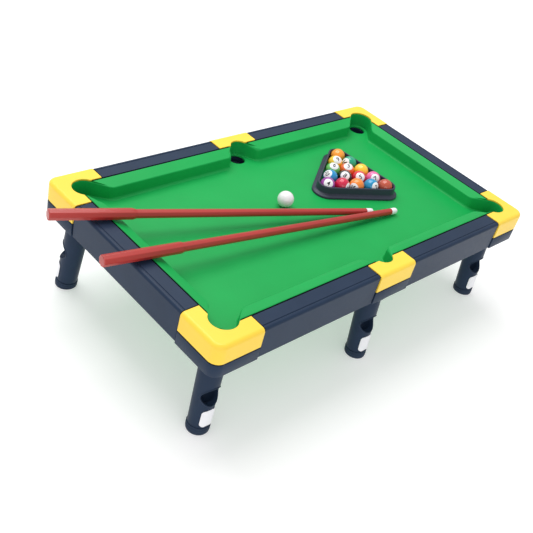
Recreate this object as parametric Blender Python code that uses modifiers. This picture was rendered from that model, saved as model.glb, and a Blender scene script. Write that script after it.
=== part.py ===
"""Mini pool table with ball-return legs, its balls, rack and two cues.

Everything is in metres. x runs along the table, y across it and z up from the ground.
"""
import math
from collections import namedtuple

import bmesh
import bpy
from mathutils import Matrix, Vector

Well = namedtuple("Well", "centre radius hole mouth reach")
Pocket = namedtuple("Pocket", "name sx sy frame well")

# Driving dimensions of the table
TABLE_LENGTH = 0.442
TABLE_WIDTH = 0.2556
RAIL_TOP = 0.1178
RAIL_WIDTH = 0.0176
RAIL_HEIGHT = 0.0325
RAIL_STEP = 0.0010
BED_DEPTH = 0.0170
GAP = 0.0003

# Plastic walls
RAIL_WALL = 0.0024
CAP_WALL = 0.0020
TRAY_WALL = 0.0022
SOCKET_FLOOR = 0.0020
SHOULDER_RADIUS = 0.0028
GROOVE_INSET = 0.0048
GROOVE_WIDTH = 0.0011
GROOVE_DEPTH = 0.0005
RAIL_LIP_WIDTH = 0.0078
RAIL_LIP_THICKNESS = 0.0018
RAIL_CHAMFER = 0.0008

# Cushions of the bed tray
CUSHION_WIDTH = Vector((0.0130, 0.0145))
CUSHION_SLOPE = 0.0038
CUSHION_DRAFT = Vector((0.0007, 0.0007))
CUSHION_FILLET = 0.0030
CUSHION_RIM = Vector((0.0018, 0.0018))
TRAY_SEAM = Vector((0.0009, 0.0009))
FLANGE_WIDTH = Vector((0.0035, 0.0035))
FLANGE_DROP = 0.0028
FLANGE_THICKNESS = 0.0020
LONG_HOLLOW = (0.0245, 0.1610)
END_HOLLOW_HALF = 0.0670

# Pockets: well centre and radius, hole centre, half mouth and its reach over the bed
CORNER_WELL = Well(Vector((0.1945, 0.1009)), 0.0126, Vector((0.1960, 0.1023)), 0.0140, 0.030)
SIDE_WELL = Well(Vector((0.0, 0.1055)), 0.0115, Vector((0.0, 0.1063)), 0.0215, 0.014)
HOLE_RADIUS = 0.0092
LOBE_WALL = 0.0016

# Pocket caps and the dark band under them
CAP_PROUD = 0.0006
CAP_HEIGHT = 0.0196
CORNER_CAP_REACH = 0.0490
SIDE_CAP_HALF = 0.0255
CORNER_ROUNDING = 0.0100
CAP_SHOULDER = 0.0040
CORNER_NOTCH_RADIUS = 0.0130
SIDE_NOTCH = Vector((0.0, 0.1045))
SIDE_NOTCH_RADIUS = 0.0110
BAND_DROP = 0.0005

# Legs, measured along their own leaning axis from the ground
CORNER_FOOT = Vector((0.2015, 0.1080))
SIDE_FOOT = Vector((0.0, 0.1150))
CORNER_SPLAY = math.radians(4.0)
SIDE_SPLAY = math.radians(5.5)
LEG_TURN = {"back_left": math.radians(45.0)}
LEG_RADIUS_TOP = 0.0114
LEG_RADIUS_BOTTOM = 0.0103
LEG_SHOULDER = 0.0717
LEG_TOP = 0.0915
RIM_CHAMFER = 0.0010
SPIGOT_RADIUS = 0.0106
BORE_RADIUS = 0.0091
PORT_HEIGHT = 0.0420
PORT_RADIUS = 0.0098
SEAT_HEIGHT = 0.0395
SEAT_WALL = 0.0030
LEG_HOLLOW_RADIUS = 0.0074
STUB_RADIUS = 0.0094
STUB_LENGTH = 0.0037
FOOT_HEIGHT = 0.0070
FOOT_RADIUS = 0.0110
FOOT_FLOOR = 0.0030
FOOT_CHAMFER = 0.0006
FOOT_TAPER = 0.0008
FOOT_EXCESS = 0.0025
SOCKET_RADIUS = 0.0125
SOCKET_TOP = 0.0970
SOCKET_DEPTH = 0.0300
SOCKET_CHAMFER = 0.0200
BALL_HOLE_RADIUS = 0.0101
SIDE_BOSS_RADIUS = 0.0150
BOSS_INSET = 0.0002
BOSS_SKIRT = 0.0015
LABEL_LOW = 0.0090
LABEL_HIGH = 0.0275
LABEL_WIDTH = 0.0150
LABEL_CORNER = 0.0036
LABEL_THICKNESS = 0.0006
TURN_STEPS = 16

# Rack and balls
BALL_RADIUS = 0.0082
CUE_BALL_RADIUS = 0.0086
RACK_CENTRE = Vector((0.0913, 0.0202))
RACK_TURN = math.radians(-25.5)
BALL_SPACING = 0.0173
RACK_CLEARANCE = 0.0009
RACK_WALL = 0.0021
RACK_FLANGE = 0.0042
RACK_FLANGE_HEIGHT = 0.0028
RACK_HEIGHT = 0.0114
CUE_BALL_PLACE = Vector((-0.0134, 0.0150))
RACKED_BALLS = (13, 9, 14, 6, 3, 1, 10, 8, 5, 7, 4, 11, 15, 2, 12)

# Cues, from butt to tip
CUE_GRIP_LENGTH = 0.0785
CUE_GRIP_RADIUS = 0.0054
CUE_SHAFT_RADIUS = 0.0043
CUE_TIP_RADIUS = 0.0035
CUE_LAP = 0.0040
FERRULE_LENGTH = 0.0090
CUES = {
    "cue_1": (Vector((-0.2545, 0.0665)), Vector((0.0683, -0.0366))),
    "cue_2": (Vector((-0.2475, -0.0056)), Vector((0.0956, -0.0469))),
}

# Values that follow from the ones above
BED_TOP = RAIL_TOP - BED_DEPTH
HALF_LENGTH = TABLE_LENGTH / 2
HALF_WIDTH = TABLE_WIDTH / 2
RAIL_INNER_X = HALF_LENGTH - RAIL_STEP - RAIL_WIDTH
RAIL_INNER_Y = HALF_WIDTH - RAIL_STEP - RAIL_WIDTH
RAIL_BOTTOM = RAIL_TOP - RAIL_HEIGHT
CAP_TOP = RAIL_TOP + CAP_PROUD
CAP_BOTTOM = CAP_TOP - CAP_HEIGHT
BAND_BOTTOM = RAIL_BOTTOM - BAND_DROP
RAIL_INNER = Vector((RAIL_INNER_X, RAIL_INNER_Y))
TRAY_HALF = RAIL_INNER - TRAY_SEAM
TRAY_BOTTOM = BED_TOP - TRAY_WALL
NOSE_HALF = RAIL_INNER - CUSHION_WIDTH
NOSE_TOP = RAIL_TOP - CUSHION_SLOPE
CORNERS = {
    "front_left": (-1, -1),
    "front_right": (1, -1),
    "back_left": (-1, 1),
    "back_right": (1, 1),
}
SIDES = {"front": -1, "back": 1}

# Colours
DARK = (0.055, 0.068, 0.115)
CHARCOAL = (0.045, 0.050, 0.080)
GREEN = (0.035, 0.450, 0.120)
YELLOW = (1.0, 0.720, 0.060)
WHITE = (0.86, 0.86, 0.89)
RED = (0.560, 0.055, 0.045)
BALL_COLOURS = {
    1: (0.95, 0.62, 0.05), 2: (0.01, 0.30, 0.55), 3: (0.85, 0.14, 0.03),
    4: (0.35, 0.05, 0.35), 5: (0.70, 0.02, 0.05), 6: (0.12, 0.50, 0.10),
    7: (0.80, 0.14, 0.36), 8: (0.01, 0.01, 0.01), 9: (0.90, 0.55, 0.04),
    10: (0.01, 0.25, 0.55), 11: (0.62, 0.01, 0.06), 12: (0.50, 0.08, 0.04),
    13: (0.90, 0.32, 0.02), 14: (0.01, 0.35, 0.20), 15: (0.88, 0.25, 0.03),
}


# ---------------------------------------------------------------- scene helpers

def clear_scene():
    for item in list(bpy.data.objects):
        bpy.data.objects.remove(item, do_unlink=True)


def new_collection(name):
    collection = bpy.data.collections.new(name)
    bpy.context.scene.collection.children.link(collection)
    return collection


clear_scene()
PARTS = new_collection("mini_pool_table")
CUTTERS = new_collection("cutters")
ORIGIN = bpy.data.objects.new("table_origin", None)
PARTS.objects.link(ORIGIN)


def plastic(name, colour, roughness):
    material = bpy.data.materials.new(name)
    material.use_nodes = True
    shader = material.node_tree.nodes["Principled BSDF"]
    shader.inputs["Base Color"].default_value = (*colour, 1.0)
    shader.inputs["Roughness"].default_value = roughness
    shader.inputs["Metallic"].default_value = 0.0
    return material


def add_part(name, mesh, colour, roughness=0.4, matrix=None):
    """One sub-part: its mesh, its own material and its place on the table."""
    item = bpy.data.objects.new(name, mesh)
    PARTS.objects.link(item)
    item.parent = ORIGIN
    item.matrix_local = matrix or Matrix.Identity(4)
    if not mesh.materials:
        mesh.materials.append(None)
    item.material_slots[0].link = "OBJECT"
    item.material_slots[0].material = plastic(name + "_plastic", colour, roughness)
    return item


def shape(item, tool_mesh, operation, matrix=None):
    """Cut an object with a tool, join the tool to it, or keep what they share."""
    tool = bpy.data.objects.new(item.name + "_tool", tool_mesh)
    CUTTERS.objects.link(tool)
    tool.parent = ORIGIN
    tool.matrix_local = matrix or Matrix.Identity(4)
    tool.hide_render = True
    tool.display_type = "WIRE"
    boolean = item.modifiers.new(operation.lower(), "BOOLEAN")
    boolean.operation = operation
    boolean.object = tool
    boolean.solver = "EXACT"


def finished_mesh(item):
    """The object's mesh with its modifiers in it, freed of the object and its tools."""
    bpy.context.view_layer.update()
    graph = bpy.context.evaluated_depsgraph_get()
    mesh = bpy.data.meshes.new_from_object(item.evaluated_get(graph))
    tools = [m.object for m in item.modifiers if m.type == "BOOLEAN"]
    for used in [item] + tools:
        bpy.data.objects.remove(used, do_unlink=True)
    return smooth_shaded(mesh)


def smooth_shaded(mesh, angle=35):
    mesh.shade_smooth()
    mesh.set_sharp_from_angle(angle=math.radians(angle))
    return mesh


# ---------------------------------------------------------------- mesh helpers

def bmesh_to_mesh(name, work):
    bmesh.ops.recalc_face_normals(work, faces=work.faces)
    mesh = bpy.data.meshes.new(name)
    work.to_mesh(mesh)
    work.free()
    return mesh


def arc(centre, radius, start, end, steps):
    """Points on an arc, angles in degrees, both ends included."""
    angles = [math.radians(start + (end - start) * i / steps) for i in range(steps + 1)]
    return [(centre[0] + radius * math.cos(a), centre[1] + radius * math.sin(a)) for a in angles]


def outline_mesh(name, loops, low, high, axes=None):
    """A flat outline, with any inner loops as holes, raised from low to high."""
    curve = bpy.data.curves.new(name, "CURVE")
    curve.dimensions = "2D"
    curve.fill_mode = "BOTH"
    curve.extrude = (high - low) / 2
    for loop in loops:
        spline = curve.splines.new("POLY")
        spline.points.add(len(loop) - 1)
        spline.use_cyclic_u = True
        for point, (x, y) in zip(spline.points, loop):
            point.co = (x, y, 0.0, 1.0)
    guide = bpy.data.objects.new(name, curve)
    CUTTERS.objects.link(guide)
    graph = bpy.context.evaluated_depsgraph_get()
    mesh = bpy.data.meshes.new_from_object(guide.evaluated_get(graph))
    bpy.data.objects.remove(guide)
    bpy.data.curves.remove(curve)
    work = bmesh.new()
    work.from_mesh(mesh)
    bpy.data.meshes.remove(mesh)
    bmesh.ops.remove_doubles(work, verts=work.verts, dist=1e-6)
    bmesh.ops.translate(work, verts=work.verts, vec=(0, 0, (low + high) / 2))
    if axes:
        bmesh.ops.transform(work, verts=work.verts, matrix=axes)
    return bmesh_to_mesh(name, work)


def box_mesh(name, low, high):
    low, high = Vector(low), Vector(high)
    work = bmesh.new()
    bmesh.ops.create_cube(work, size=1.0)
    bmesh.ops.scale(work, verts=work.verts, vec=high - low)
    bmesh.ops.translate(work, verts=work.verts, vec=(low + high) / 2)
    return bmesh_to_mesh(name, work)


def cylinder_mesh(name, radius, low, high, centre=(0, 0), segments=24, end_radius=None):
    work = bmesh.new()
    bmesh.ops.create_cone(work, cap_ends=True, segments=segments, radius1=radius,
                          radius2=end_radius or radius, depth=high - low)
    bmesh.ops.translate(work, verts=work.verts, vec=(centre[0], centre[1], (low + high) / 2))
    return bmesh_to_mesh(name, work)


def hull_mesh(name, points):
    """The tightest convex solid around a set of points."""
    work = bmesh.new()
    for point in points:
        work.verts.new(point)
    hull = bmesh.ops.convex_hull(work, input=work.verts)
    loose = [v for v in hull["geom_interior"] if isinstance(v, bmesh.types.BMVert)]
    bmesh.ops.delete(work, geom=loose, context="VERTS")
    return bmesh_to_mesh(name, work)


def turned_mesh(name, profile, steps, closed=False):
    """A profile of (radius, height) points turned about z, running down its outer side."""
    work = bmesh.new()
    verts = [work.verts.new((r, 0.0, z)) for r, z in profile]
    for start, end in zip(verts, verts[1:]):
        work.edges.new((start, end))
    if closed:
        work.edges.new((verts[-1], verts[0]))
    mesh = bpy.data.meshes.new(name)
    work.to_mesh(mesh)
    work.free()
    blank = bpy.data.objects.new(name, mesh)
    CUTTERS.objects.link(blank)
    screw = blank.modifiers.new("turn", "SCREW")
    screw.axis = "Z"
    screw.steps = steps
    screw.render_steps = steps
    screw.use_merge_vertices = True
    screw.merge_threshold = 0.00001
    return finished_mesh(blank)


def circle_points(centre, radius, height, matrix=None):
    plan = arc(centre, radius, 0, 360 - 360 / TURN_STEPS, TURN_STEPS - 1)
    ring = [Vector((*p, height)) for p in plan]
    return [matrix @ p for p in ring] if matrix else ring


def mirrored(loop, sx, sy):
    return [(sx * x, sy * y) for x, y in loop]


# ---------------------------------------------------------------- pockets and legs in plan

def leg_matrix(foot, splay, sx, sy):
    """Leg frame: z up the leaning leg, y outward across the table, origin on the ground."""
    along = Vector((-sx * math.tan(splay if foot.x else 0.0), -sy * math.tan(splay), 1.0))
    along.normalize()
    across = Vector((0, sy, 0)).cross(along).normalized()
    outward = along.cross(across)
    turn = Matrix((across, outward, along)).transposed().to_4x4()
    return Matrix.Translation((sx * foot.x, sy * foot.y, 0)) @ turn


def pockets():
    """All six pockets, each with its side signs, its leg's frame and its well.

    The legs are round push fits, and the back left one stands turned in its socket.
    """
    for name, (sx, sy) in CORNERS.items():
        frame = leg_matrix(CORNER_FOOT, CORNER_SPLAY, sx, sy)
        turned = frame @ Matrix.Rotation(LEG_TURN.get(name, 0.0), 4, "Z")
        yield Pocket(name, sx, sy, turned, CORNER_WELL)
    for name, sy in SIDES.items():
        frame = leg_matrix(SIDE_FOOT, SIDE_SPLAY, 1, sy)
        yield Pocket(name + "_middle", 1, sy, frame, SIDE_WELL)


def corner_cap_outline():
    """Plan of a back right corner cap, with the round notch over the pocket."""
    notch = CORNER_NOTCH_RADIUS
    start = -math.degrees(math.acos((RAIL_INNER_X - CORNER_WELL.centre.x) / notch))
    end = 180 - math.degrees(math.asin((RAIL_INNER_Y - CORNER_WELL.centre.y) / notch))
    outer = arc((HALF_LENGTH - CORNER_ROUNDING, HALF_WIDTH - CORNER_ROUNDING),
                CORNER_ROUNDING, 90, 0, 5)
    reach_x = HALF_LENGTH - CORNER_CAP_REACH
    reach_y = HALF_WIDTH - CORNER_CAP_REACH
    return ([(reach_x, RAIL_INNER_Y), (reach_x, HALF_WIDTH)] + outer
            + [(HALF_LENGTH, reach_y), (RAIL_INNER_X, reach_y)]
            + arc(CORNER_WELL.centre, notch, start, end, 10))


def side_cap_outline():
    """Plan of the back middle cap."""
    rise = RAIL_INNER_Y - SIDE_NOTCH.y
    start = math.degrees(math.asin(rise / SIDE_NOTCH_RADIUS))
    return ([(-SIDE_CAP_HALF, RAIL_INNER_Y), (-SIDE_CAP_HALF, HALF_WIDTH),
             (SIDE_CAP_HALF, HALF_WIDTH), (SIDE_CAP_HALF, RAIL_INNER_Y)]
            + arc(SIDE_NOTCH, SIDE_NOTCH_RADIUS, start, 180 - start, 8))


def room_mesh(pocket, wall, low, high):
    """The space inside the outer walls at a pocket, open towards the table."""
    if pocket.well is CORNER_WELL:
        centre = (HALF_LENGTH - CORNER_ROUNDING, HALF_WIDTH - CORNER_ROUNDING)
        low_x = HALF_LENGTH - 2 * CORNER_CAP_REACH
        low_y = HALF_WIDTH - 2 * CORNER_CAP_REACH
        plan = ([(low_x, low_y), (low_x, HALF_WIDTH - wall)]
                + arc(centre, CORNER_ROUNDING - wall, 90, 0, 5) + [(HALF_LENGTH - wall, low_y)])
    else:
        half = 2 * SIDE_CAP_HALF
        low_y = HALF_WIDTH - 2 * SOCKET_DEPTH
        plan = [(-half, low_y), (-half, HALF_WIDTH - wall), (half, HALF_WIDTH - wall),
                (half, low_y)]
    return outline_mesh("room", [mirrored(plan, pocket.sx, pocket.sy)], low, high)


# ---------------------------------------------------------------- bed tray

def frustum_mesh(name, half_low, half_high, low, high):
    """A rectangular block whose sides lean from one half size to another."""
    work = bmesh.new()
    bmesh.ops.create_cube(work, size=2.0)
    for vert in work.verts:
        half, level = (half_low, low) if vert.co.z < 0 else (half_high, high)
        vert.co = (vert.co.x * half.x, vert.co.y * half.y, level)
    return bmesh_to_mesh(name, work)


def play_field_mesh():
    """The space between the cushions below their noses, with a filleted foot."""
    mesh = frustum_mesh("play_field", NOSE_HALF - CUSHION_DRAFT, NOSE_HALF, BED_TOP, NOSE_TOP)
    work = bmesh.new()
    work.from_mesh(mesh)
    foot = [e for e in work.edges if all(v.co.z < BED_TOP + GAP for v in e.verts)]
    bmesh.ops.bevel(work, geom=foot, offset=CUSHION_FILLET, segments=3, profile=0.5,
                    affect="EDGES")
    return bmesh_to_mesh("play_field", work)


def cushion_slope_mesh():
    """The space over the sloping cushion tops."""
    rise = RAIL_TOP - NOSE_TOP
    run = TRAY_HALF - NOSE_HALF
    return frustum_mesh("slope", NOSE_HALF, NOSE_HALF + 2 * run, NOSE_TOP - GAP / 3,
                        NOSE_TOP + 2 * rise)


def well_mesh(pocket):
    """The ball's way into a pocket: a round well with flared jaws."""
    well = pocket.well
    inward = Vector((-1 if well.centre.x else 0, -1)).normalized()
    across = Vector((-inward.y, inward.x))
    lip = well.centre + inward * well.reach
    plan = arc(well.centre, well.radius, 0, 345, 23)
    plan += [tuple(lip + across * well.mouth), tuple(lip - across * well.mouth)]
    plan = mirrored(plan, pocket.sx, pocket.sy)
    return hull_mesh("well", [Vector((*p, z)) for p in plan for z in (BED_TOP, 2 * CAP_TOP)])


def build_tray():
    blank = box_mesh("tray", (*-TRAY_HALF, TRAY_BOTTOM), (*TRAY_HALF, RAIL_TOP))
    tray = add_part("bed_tray", blank, GREEN, 0.75)
    flange = TRAY_HALF + FLANGE_WIDTH
    flange_top = RAIL_TOP - FLANGE_DROP
    shape(tray, box_mesh("flange", (*-flange, flange_top - FLANGE_THICKNESS),
                         (*flange, flange_top)), "UNION")
    for pocket in pockets():
        centre = (pocket.sx * pocket.well.centre.x, pocket.sy * pocket.well.centre.y)
        lobe = cylinder_mesh("lobe", pocket.well.radius + LOBE_WALL, TRAY_BOTTOM,
                             CAP_TOP - CAP_WALL - GAP, centre, 32)
        shape(tray, lobe, "UNION")
    shape(tray, play_field_mesh(), "DIFFERENCE")
    shape(tray, cushion_slope_mesh(), "DIFFERENCE")
    for pocket in pockets():
        centre = (pocket.sx * pocket.well.hole.x, pocket.sy * pocket.well.hole.y)
        shape(tray, well_mesh(pocket), "DIFFERENCE")
        hole = cylinder_mesh("hole", HOLE_RADIUS, TRAY_BOTTOM - TRAY_WALL, BED_TOP + TRAY_WALL,
                             centre)
        shape(tray, hole, "DIFFERENCE")
    for hollow in cushion_hollows():
        shape(tray, hollow, "DIFFERENCE")


def cushion_hollows():
    """Spaces under the six cushions, open at the bottom."""
    floor = TRAY_BOTTOM - TRAY_WALL
    roof = NOSE_TOP - TRAY_WALL
    inner = NOSE_HALF + Vector((TRAY_WALL, TRAY_WALL))
    outer = TRAY_HALF - CUSHION_RIM
    for sy in (-1, 1):
        ys = sorted((sy * inner.y, sy * outer.y))
        for sx in (-1, 1):
            xs = sorted((sx * LONG_HOLLOW[0], sx * LONG_HOLLOW[1]))
            yield box_mesh("hollow", (xs[0], ys[0], floor), (xs[1], ys[1], roof))
    for sx in (-1, 1):
        xs = sorted((sx * inner.x, sx * outer.x))
        yield box_mesh("hollow", (xs[0], -END_HOLLOW_HALF, floor), (xs[1], END_HOLLOW_HALF, roof))


# ---------------------------------------------------------------- rails

def rail_profile():
    """Section of a rail: x outward from the table's middle line, y up."""
    outer = RAIL_WIDTH
    shoulder = arc((outer - SHOULDER_RADIUS, -SHOULDER_RADIUS), SHOULDER_RADIUS, 90, 0, 4)
    groove = outer - GROOVE_INSET
    slant = GROOVE_DEPTH / 2
    lip = outer - RAIL_LIP_WIDTH
    lip_top = RAIL_LIP_THICKNESS - RAIL_HEIGHT
    return ([(0.0, 0.0), (groove, 0.0), (groove + slant, -GROOVE_DEPTH),
             (groove + GROOVE_WIDTH - slant, -GROOVE_DEPTH), (groove + GROOVE_WIDTH, 0.0)]
            + shoulder
            + [(outer, RAIL_CHAMFER - RAIL_HEIGHT), (outer - RAIL_CHAMFER, -RAIL_HEIGHT),
               (lip, -RAIL_HEIGHT), (lip, lip_top), (outer - RAIL_WALL, lip_top),
               (outer - RAIL_WALL, -RAIL_WALL), (0.0, -RAIL_WALL)])


def build_rail(name, start, end, outward, inner):
    """A rail along the table's edge between two caps, facing an outward direction."""
    outward = Vector((*outward, 0))
    up = Vector((0, 0, 1))
    axes = Matrix((outward, up, outward.cross(up))).transposed().to_4x4()
    middle = Matrix.Translation(outward * inner + up * RAIL_TOP)
    mesh = outline_mesh(name, [rail_profile()], start, end, middle @ axes)
    add_part(name, smooth_shaded(mesh, 30), DARK, 0.42)


def build_rails():
    start = SIDE_CAP_HALF + GAP
    end = HALF_LENGTH - CORNER_CAP_REACH - GAP
    for side, sy in SIDES.items():
        along = Vector((0, sy, 0)).cross(Vector((0, 0, 1))).x
        for hand, sx in (("left", -1), ("right", 1)):
            run = sorted((start * sx * along, end * sx * along))
            build_rail(f"rail_{side}_{hand}", run[0], run[1], (0, sy), RAIL_INNER_Y)
    half = HALF_WIDTH - CORNER_CAP_REACH - GAP
    for hand, sx in (("left", -1), ("right", 1)):
        build_rail(f"rail_{hand}_end", -half, half, (sx, 0), RAIL_INNER_X)


# ---------------------------------------------------------------- pocket caps

def soften_shoulder(mesh):
    """Round a cap's top edges where they face away from the table."""
    work = bmesh.new()
    work.from_mesh(mesh)

    def on_shoulder(edge):
        middle = (edge.verts[0].co + edge.verts[1].co) / 2
        top = all(v.co.z > CAP_TOP - GAP for v in edge.verts)
        corner = Vector((HALF_LENGTH - CORNER_ROUNDING, HALF_WIDTH - CORNER_ROUNDING))
        spot = Vector((abs(middle.x), abs(middle.y)))
        rounded = (spot - corner).length > CORNER_ROUNDING * 0.9 and spot.x > corner.x
        faces = len({f.normal.z > 0.5 for f in edge.link_faces}) == 2
        straight = spot.x > HALF_LENGTH - GAP or spot.y > HALF_WIDTH - GAP
        return top and faces and (straight or (rounded and spot.y > corner.y))

    edges = [e for e in work.edges if on_shoulder(e)]
    bmesh.ops.bevel(work, geom=edges, offset=CAP_SHOULDER, segments=4, profile=0.5,
                    affect="EDGES")
    return bmesh_to_mesh(mesh.name, work)


def build_caps():
    for pocket in pockets():
        plan = corner_cap_outline() if pocket.well is CORNER_WELL else side_cap_outline()
        plan = mirrored(plan, pocket.sx, pocket.sy)
        mesh = soften_shoulder(outline_mesh(pocket.name, [plan], CAP_BOTTOM, CAP_TOP))
        cap = add_part("cap_" + pocket.name, smooth_shaded(mesh, 30), YELLOW, 0.35)
        room = room_mesh(pocket, CAP_WALL, CAP_BOTTOM - CAP_WALL, CAP_TOP - CAP_WALL)
        shape(cap, room, "DIFFERENCE")


# ---------------------------------------------------------------- leg sockets

def socket_boss(pocket):
    """The fairing that runs from the band down around the top of the leg."""
    if pocket.well is CORNER_WELL:
        centre = (HALF_LENGTH - CORNER_ROUNDING, HALF_WIDTH - CORNER_ROUNDING)
        radius = CORNER_ROUNDING - BOSS_INSET
    else:
        centre = (0.0, HALF_WIDTH - SIDE_BOSS_RADIUS - BOSS_INSET)
        radius = SIDE_BOSS_RADIUS
    centre = (pocket.sx * centre[0], pocket.sy * centre[1])
    level = BAND_BOTTOM + BOSS_INSET
    points = circle_points((0, 0), SOCKET_RADIUS, LEG_SHOULDER + GAP, pocket.frame)
    points += circle_points((0, 0), SOCKET_RADIUS, SOCKET_TOP, pocket.frame)
    points += circle_points(centre, radius, level)
    points += circle_points(centre, radius, level + BOSS_SKIRT)
    return hull_mesh("boss", points)


def socket_bore():
    """Room for the leg's spigot, and the ball's hole above it."""
    ledge = LEG_TOP + GAP
    bore = SPIGOT_RADIUS + GAP
    top = SOCKET_TOP + SPIGOT_RADIUS
    floor = LEG_SHOULDER - SPIGOT_RADIUS
    return turned_mesh("bore", [(0, top), (BALL_HOLE_RADIUS, top), (BALL_HOLE_RADIUS, ledge),
                                (bore, ledge), (bore, floor), (0, floor)], TURN_STEPS)


def socket_plan(well):
    if well is SIDE_WELL:
        inner = HALF_WIDTH - SOCKET_DEPTH
        return [(-SIDE_CAP_HALF, inner), (-SIDE_CAP_HALF, HALF_WIDTH),
                (SIDE_CAP_HALF, HALF_WIDTH), (SIDE_CAP_HALF, inner)]
    low_x = HALF_LENGTH - CORNER_CAP_REACH
    low_y = HALF_WIDTH - CORNER_CAP_REACH
    corner = arc((HALF_LENGTH - CORNER_ROUNDING, HALF_WIDTH - CORNER_ROUNDING),
                 CORNER_ROUNDING, 90, 0, 5)
    return ([(low_x, low_y + SOCKET_CHAMFER), (low_x, HALF_WIDTH)] + corner
            + [(HALF_LENGTH, low_y), (low_x + SOCKET_CHAMFER, low_y)])


def build_sockets():
    bore = socket_bore()
    for pocket in pockets():
        plan = mirrored(socket_plan(pocket.well), pocket.sx, pocket.sy)
        mesh = outline_mesh(pocket.name, [plan], BAND_BOTTOM, CAP_BOTTOM - GAP)
        socket = add_part("socket_" + pocket.name, smooth_shaded(mesh, 30), DARK, 0.42)
        room = room_mesh(pocket, RAIL_WALL, BAND_BOTTOM + SOCKET_FLOOR, CAP_TOP)
        shape(socket, room, "DIFFERENCE")
        shape(socket, socket_boss(pocket), "UNION")
        shape(socket, bore, "DIFFERENCE", pocket.frame)


# ---------------------------------------------------------------- legs, feet and labels

def leg_radius(height):
    share = (height - FOOT_HEIGHT) / (LEG_SHOULDER - FOOT_HEIGHT)
    return LEG_RADIUS_BOTTOM + (LEG_RADIUS_TOP - LEG_RADIUS_BOTTOM) * share


def leg_profile():
    """Section of a leg: ball seat and bore, rim, spigot, tapered body and hollow foot."""
    seat = [(BORE_RADIUS * math.sin(a), SEAT_HEIGHT - BORE_RADIUS * math.cos(a))
            for a in (math.radians(30 * i) for i in range(4))]
    hollow_top = SEAT_HEIGHT - BORE_RADIUS - SEAT_WALL
    stub_bottom = FOOT_HEIGHT - STUB_LENGTH
    return seat + [(BORE_RADIUS, LEG_TOP - RIM_CHAMFER), (BORE_RADIUS + RIM_CHAMFER, LEG_TOP),
                   (SPIGOT_RADIUS, LEG_TOP), (SPIGOT_RADIUS, LEG_SHOULDER),
                   (LEG_RADIUS_TOP, LEG_SHOULDER), (LEG_RADIUS_BOTTOM, FOOT_HEIGHT + GAP),
                   (STUB_RADIUS, FOOT_HEIGHT + GAP), (STUB_RADIUS, stub_bottom),
                   (LEG_HOLLOW_RADIUS, stub_bottom), (LEG_HOLLOW_RADIUS, hollow_top),
                   (0.0, hollow_top)]


def leg_mesh():
    """A leg with the ball's exit port in its outer side."""
    body = add_part("leg_blank", turned_mesh("leg", leg_profile(), TURN_STEPS), DARK)
    aside = Matrix.Translation((0, 0, PORT_HEIGHT)) @ Matrix.Rotation(-math.pi / 2, 4, "X")
    port = cylinder_mesh("port", PORT_RADIUS, 0.0, 2 * LEG_RADIUS_TOP, (0, 0), 20)
    shape(body, port, "DIFFERENCE", aside)
    return finished_mesh(body)


def foot_mesh():
    """A foot cap, still long enough to be trimmed level with the ground."""
    rim = FOOT_HEIGHT
    bore = STUB_RADIUS + GAP
    return turned_mesh("foot", [(0.0, FOOT_FLOOR), (bore, FOOT_FLOOR), (bore, rim),
                                (FOOT_RADIUS - FOOT_CHAMFER, rim),
                                (FOOT_RADIUS, rim - FOOT_CHAMFER), (FOOT_RADIUS, FOOT_FLOOR / 2),
                                (FOOT_RADIUS - FOOT_TAPER, -FOOT_EXCESS), (0.0, -FOOT_EXCESS)],
                       TURN_STEPS)


def label_mesh():
    """A thin curved plate with round corners, wrapped on the leg's outer side."""
    low, high = LABEL_LOW, LABEL_HIGH
    inner = [leg_radius(low) + GAP, leg_radius(high) + GAP]
    outer = [r + LABEL_THICKNESS for r in inner]
    band = turned_mesh("label", [(outer[1], high), (outer[0], low), (inner[0], low),
                                 (inner[1], high)], 40, closed=True)
    blank = add_part("label_blank", band, WHITE)
    half = Vector((LABEL_WIDTH / 2, (high - low) / 2))
    plan = []
    for sx, sy, start in ((1, 1, 0), (-1, 1, 90), (-1, -1, 180), (1, -1, 270)):
        middle = (sx * (half.x - LABEL_CORNER), (low + high) / 2 + sy * (half.y - LABEL_CORNER))
        plan += arc(middle, LABEL_CORNER, start, start + 90, 3)
    axes = Matrix(((1, 0, 0, 0), (0, 0, 1, 0), (0, 1, 0, 0), (0, 0, 0, 1)))
    window = outline_mesh("window", [plan], GAP, 2 * LEG_RADIUS_TOP, axes)
    shape(blank, window, "INTERSECT")
    return finished_mesh(blank)


def build_legs():
    leg, foot, label = leg_mesh(), foot_mesh(), label_mesh()
    reach = 2 * FOOT_RADIUS
    ground = box_mesh("ground", (-reach, -reach, -reach), (reach, reach, 0.0))
    for pocket in pockets():
        add_part("leg_" + pocket.name, leg, DARK, 0.42, pocket.frame)
        shoe = add_part("foot_" + pocket.name, foot, DARK, 0.55, pocket.frame)
        shape(shoe, ground, "DIFFERENCE", Matrix.Translation(pocket.frame.to_translation()))
        add_part("label_" + pocket.name, label, WHITE, 0.45, pocket.frame)


# ---------------------------------------------------------------- balls, rack and cues

def racked_places():
    """Centres of the fifteen racked balls, apex first, in the rack's own plan."""
    for row in range(5):
        for place in range(row + 1):
            yield Vector(((place - row / 2) * BALL_SPACING,
                          (8 / 3 - row) * BALL_SPACING * math.sqrt(3) / 2, 0.0))


def rack_matrix(height):
    lift = Matrix.Translation((*RACK_CENTRE, height))
    return lift @ Matrix.Rotation(RACK_TURN, 4, "Z")


def ball_mesh(radius):
    work = bmesh.new()
    bmesh.ops.create_uvsphere(work, u_segments=14, v_segments=8, radius=radius)
    return smooth_shaded(bmesh_to_mesh("ball", work), 60)


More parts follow.
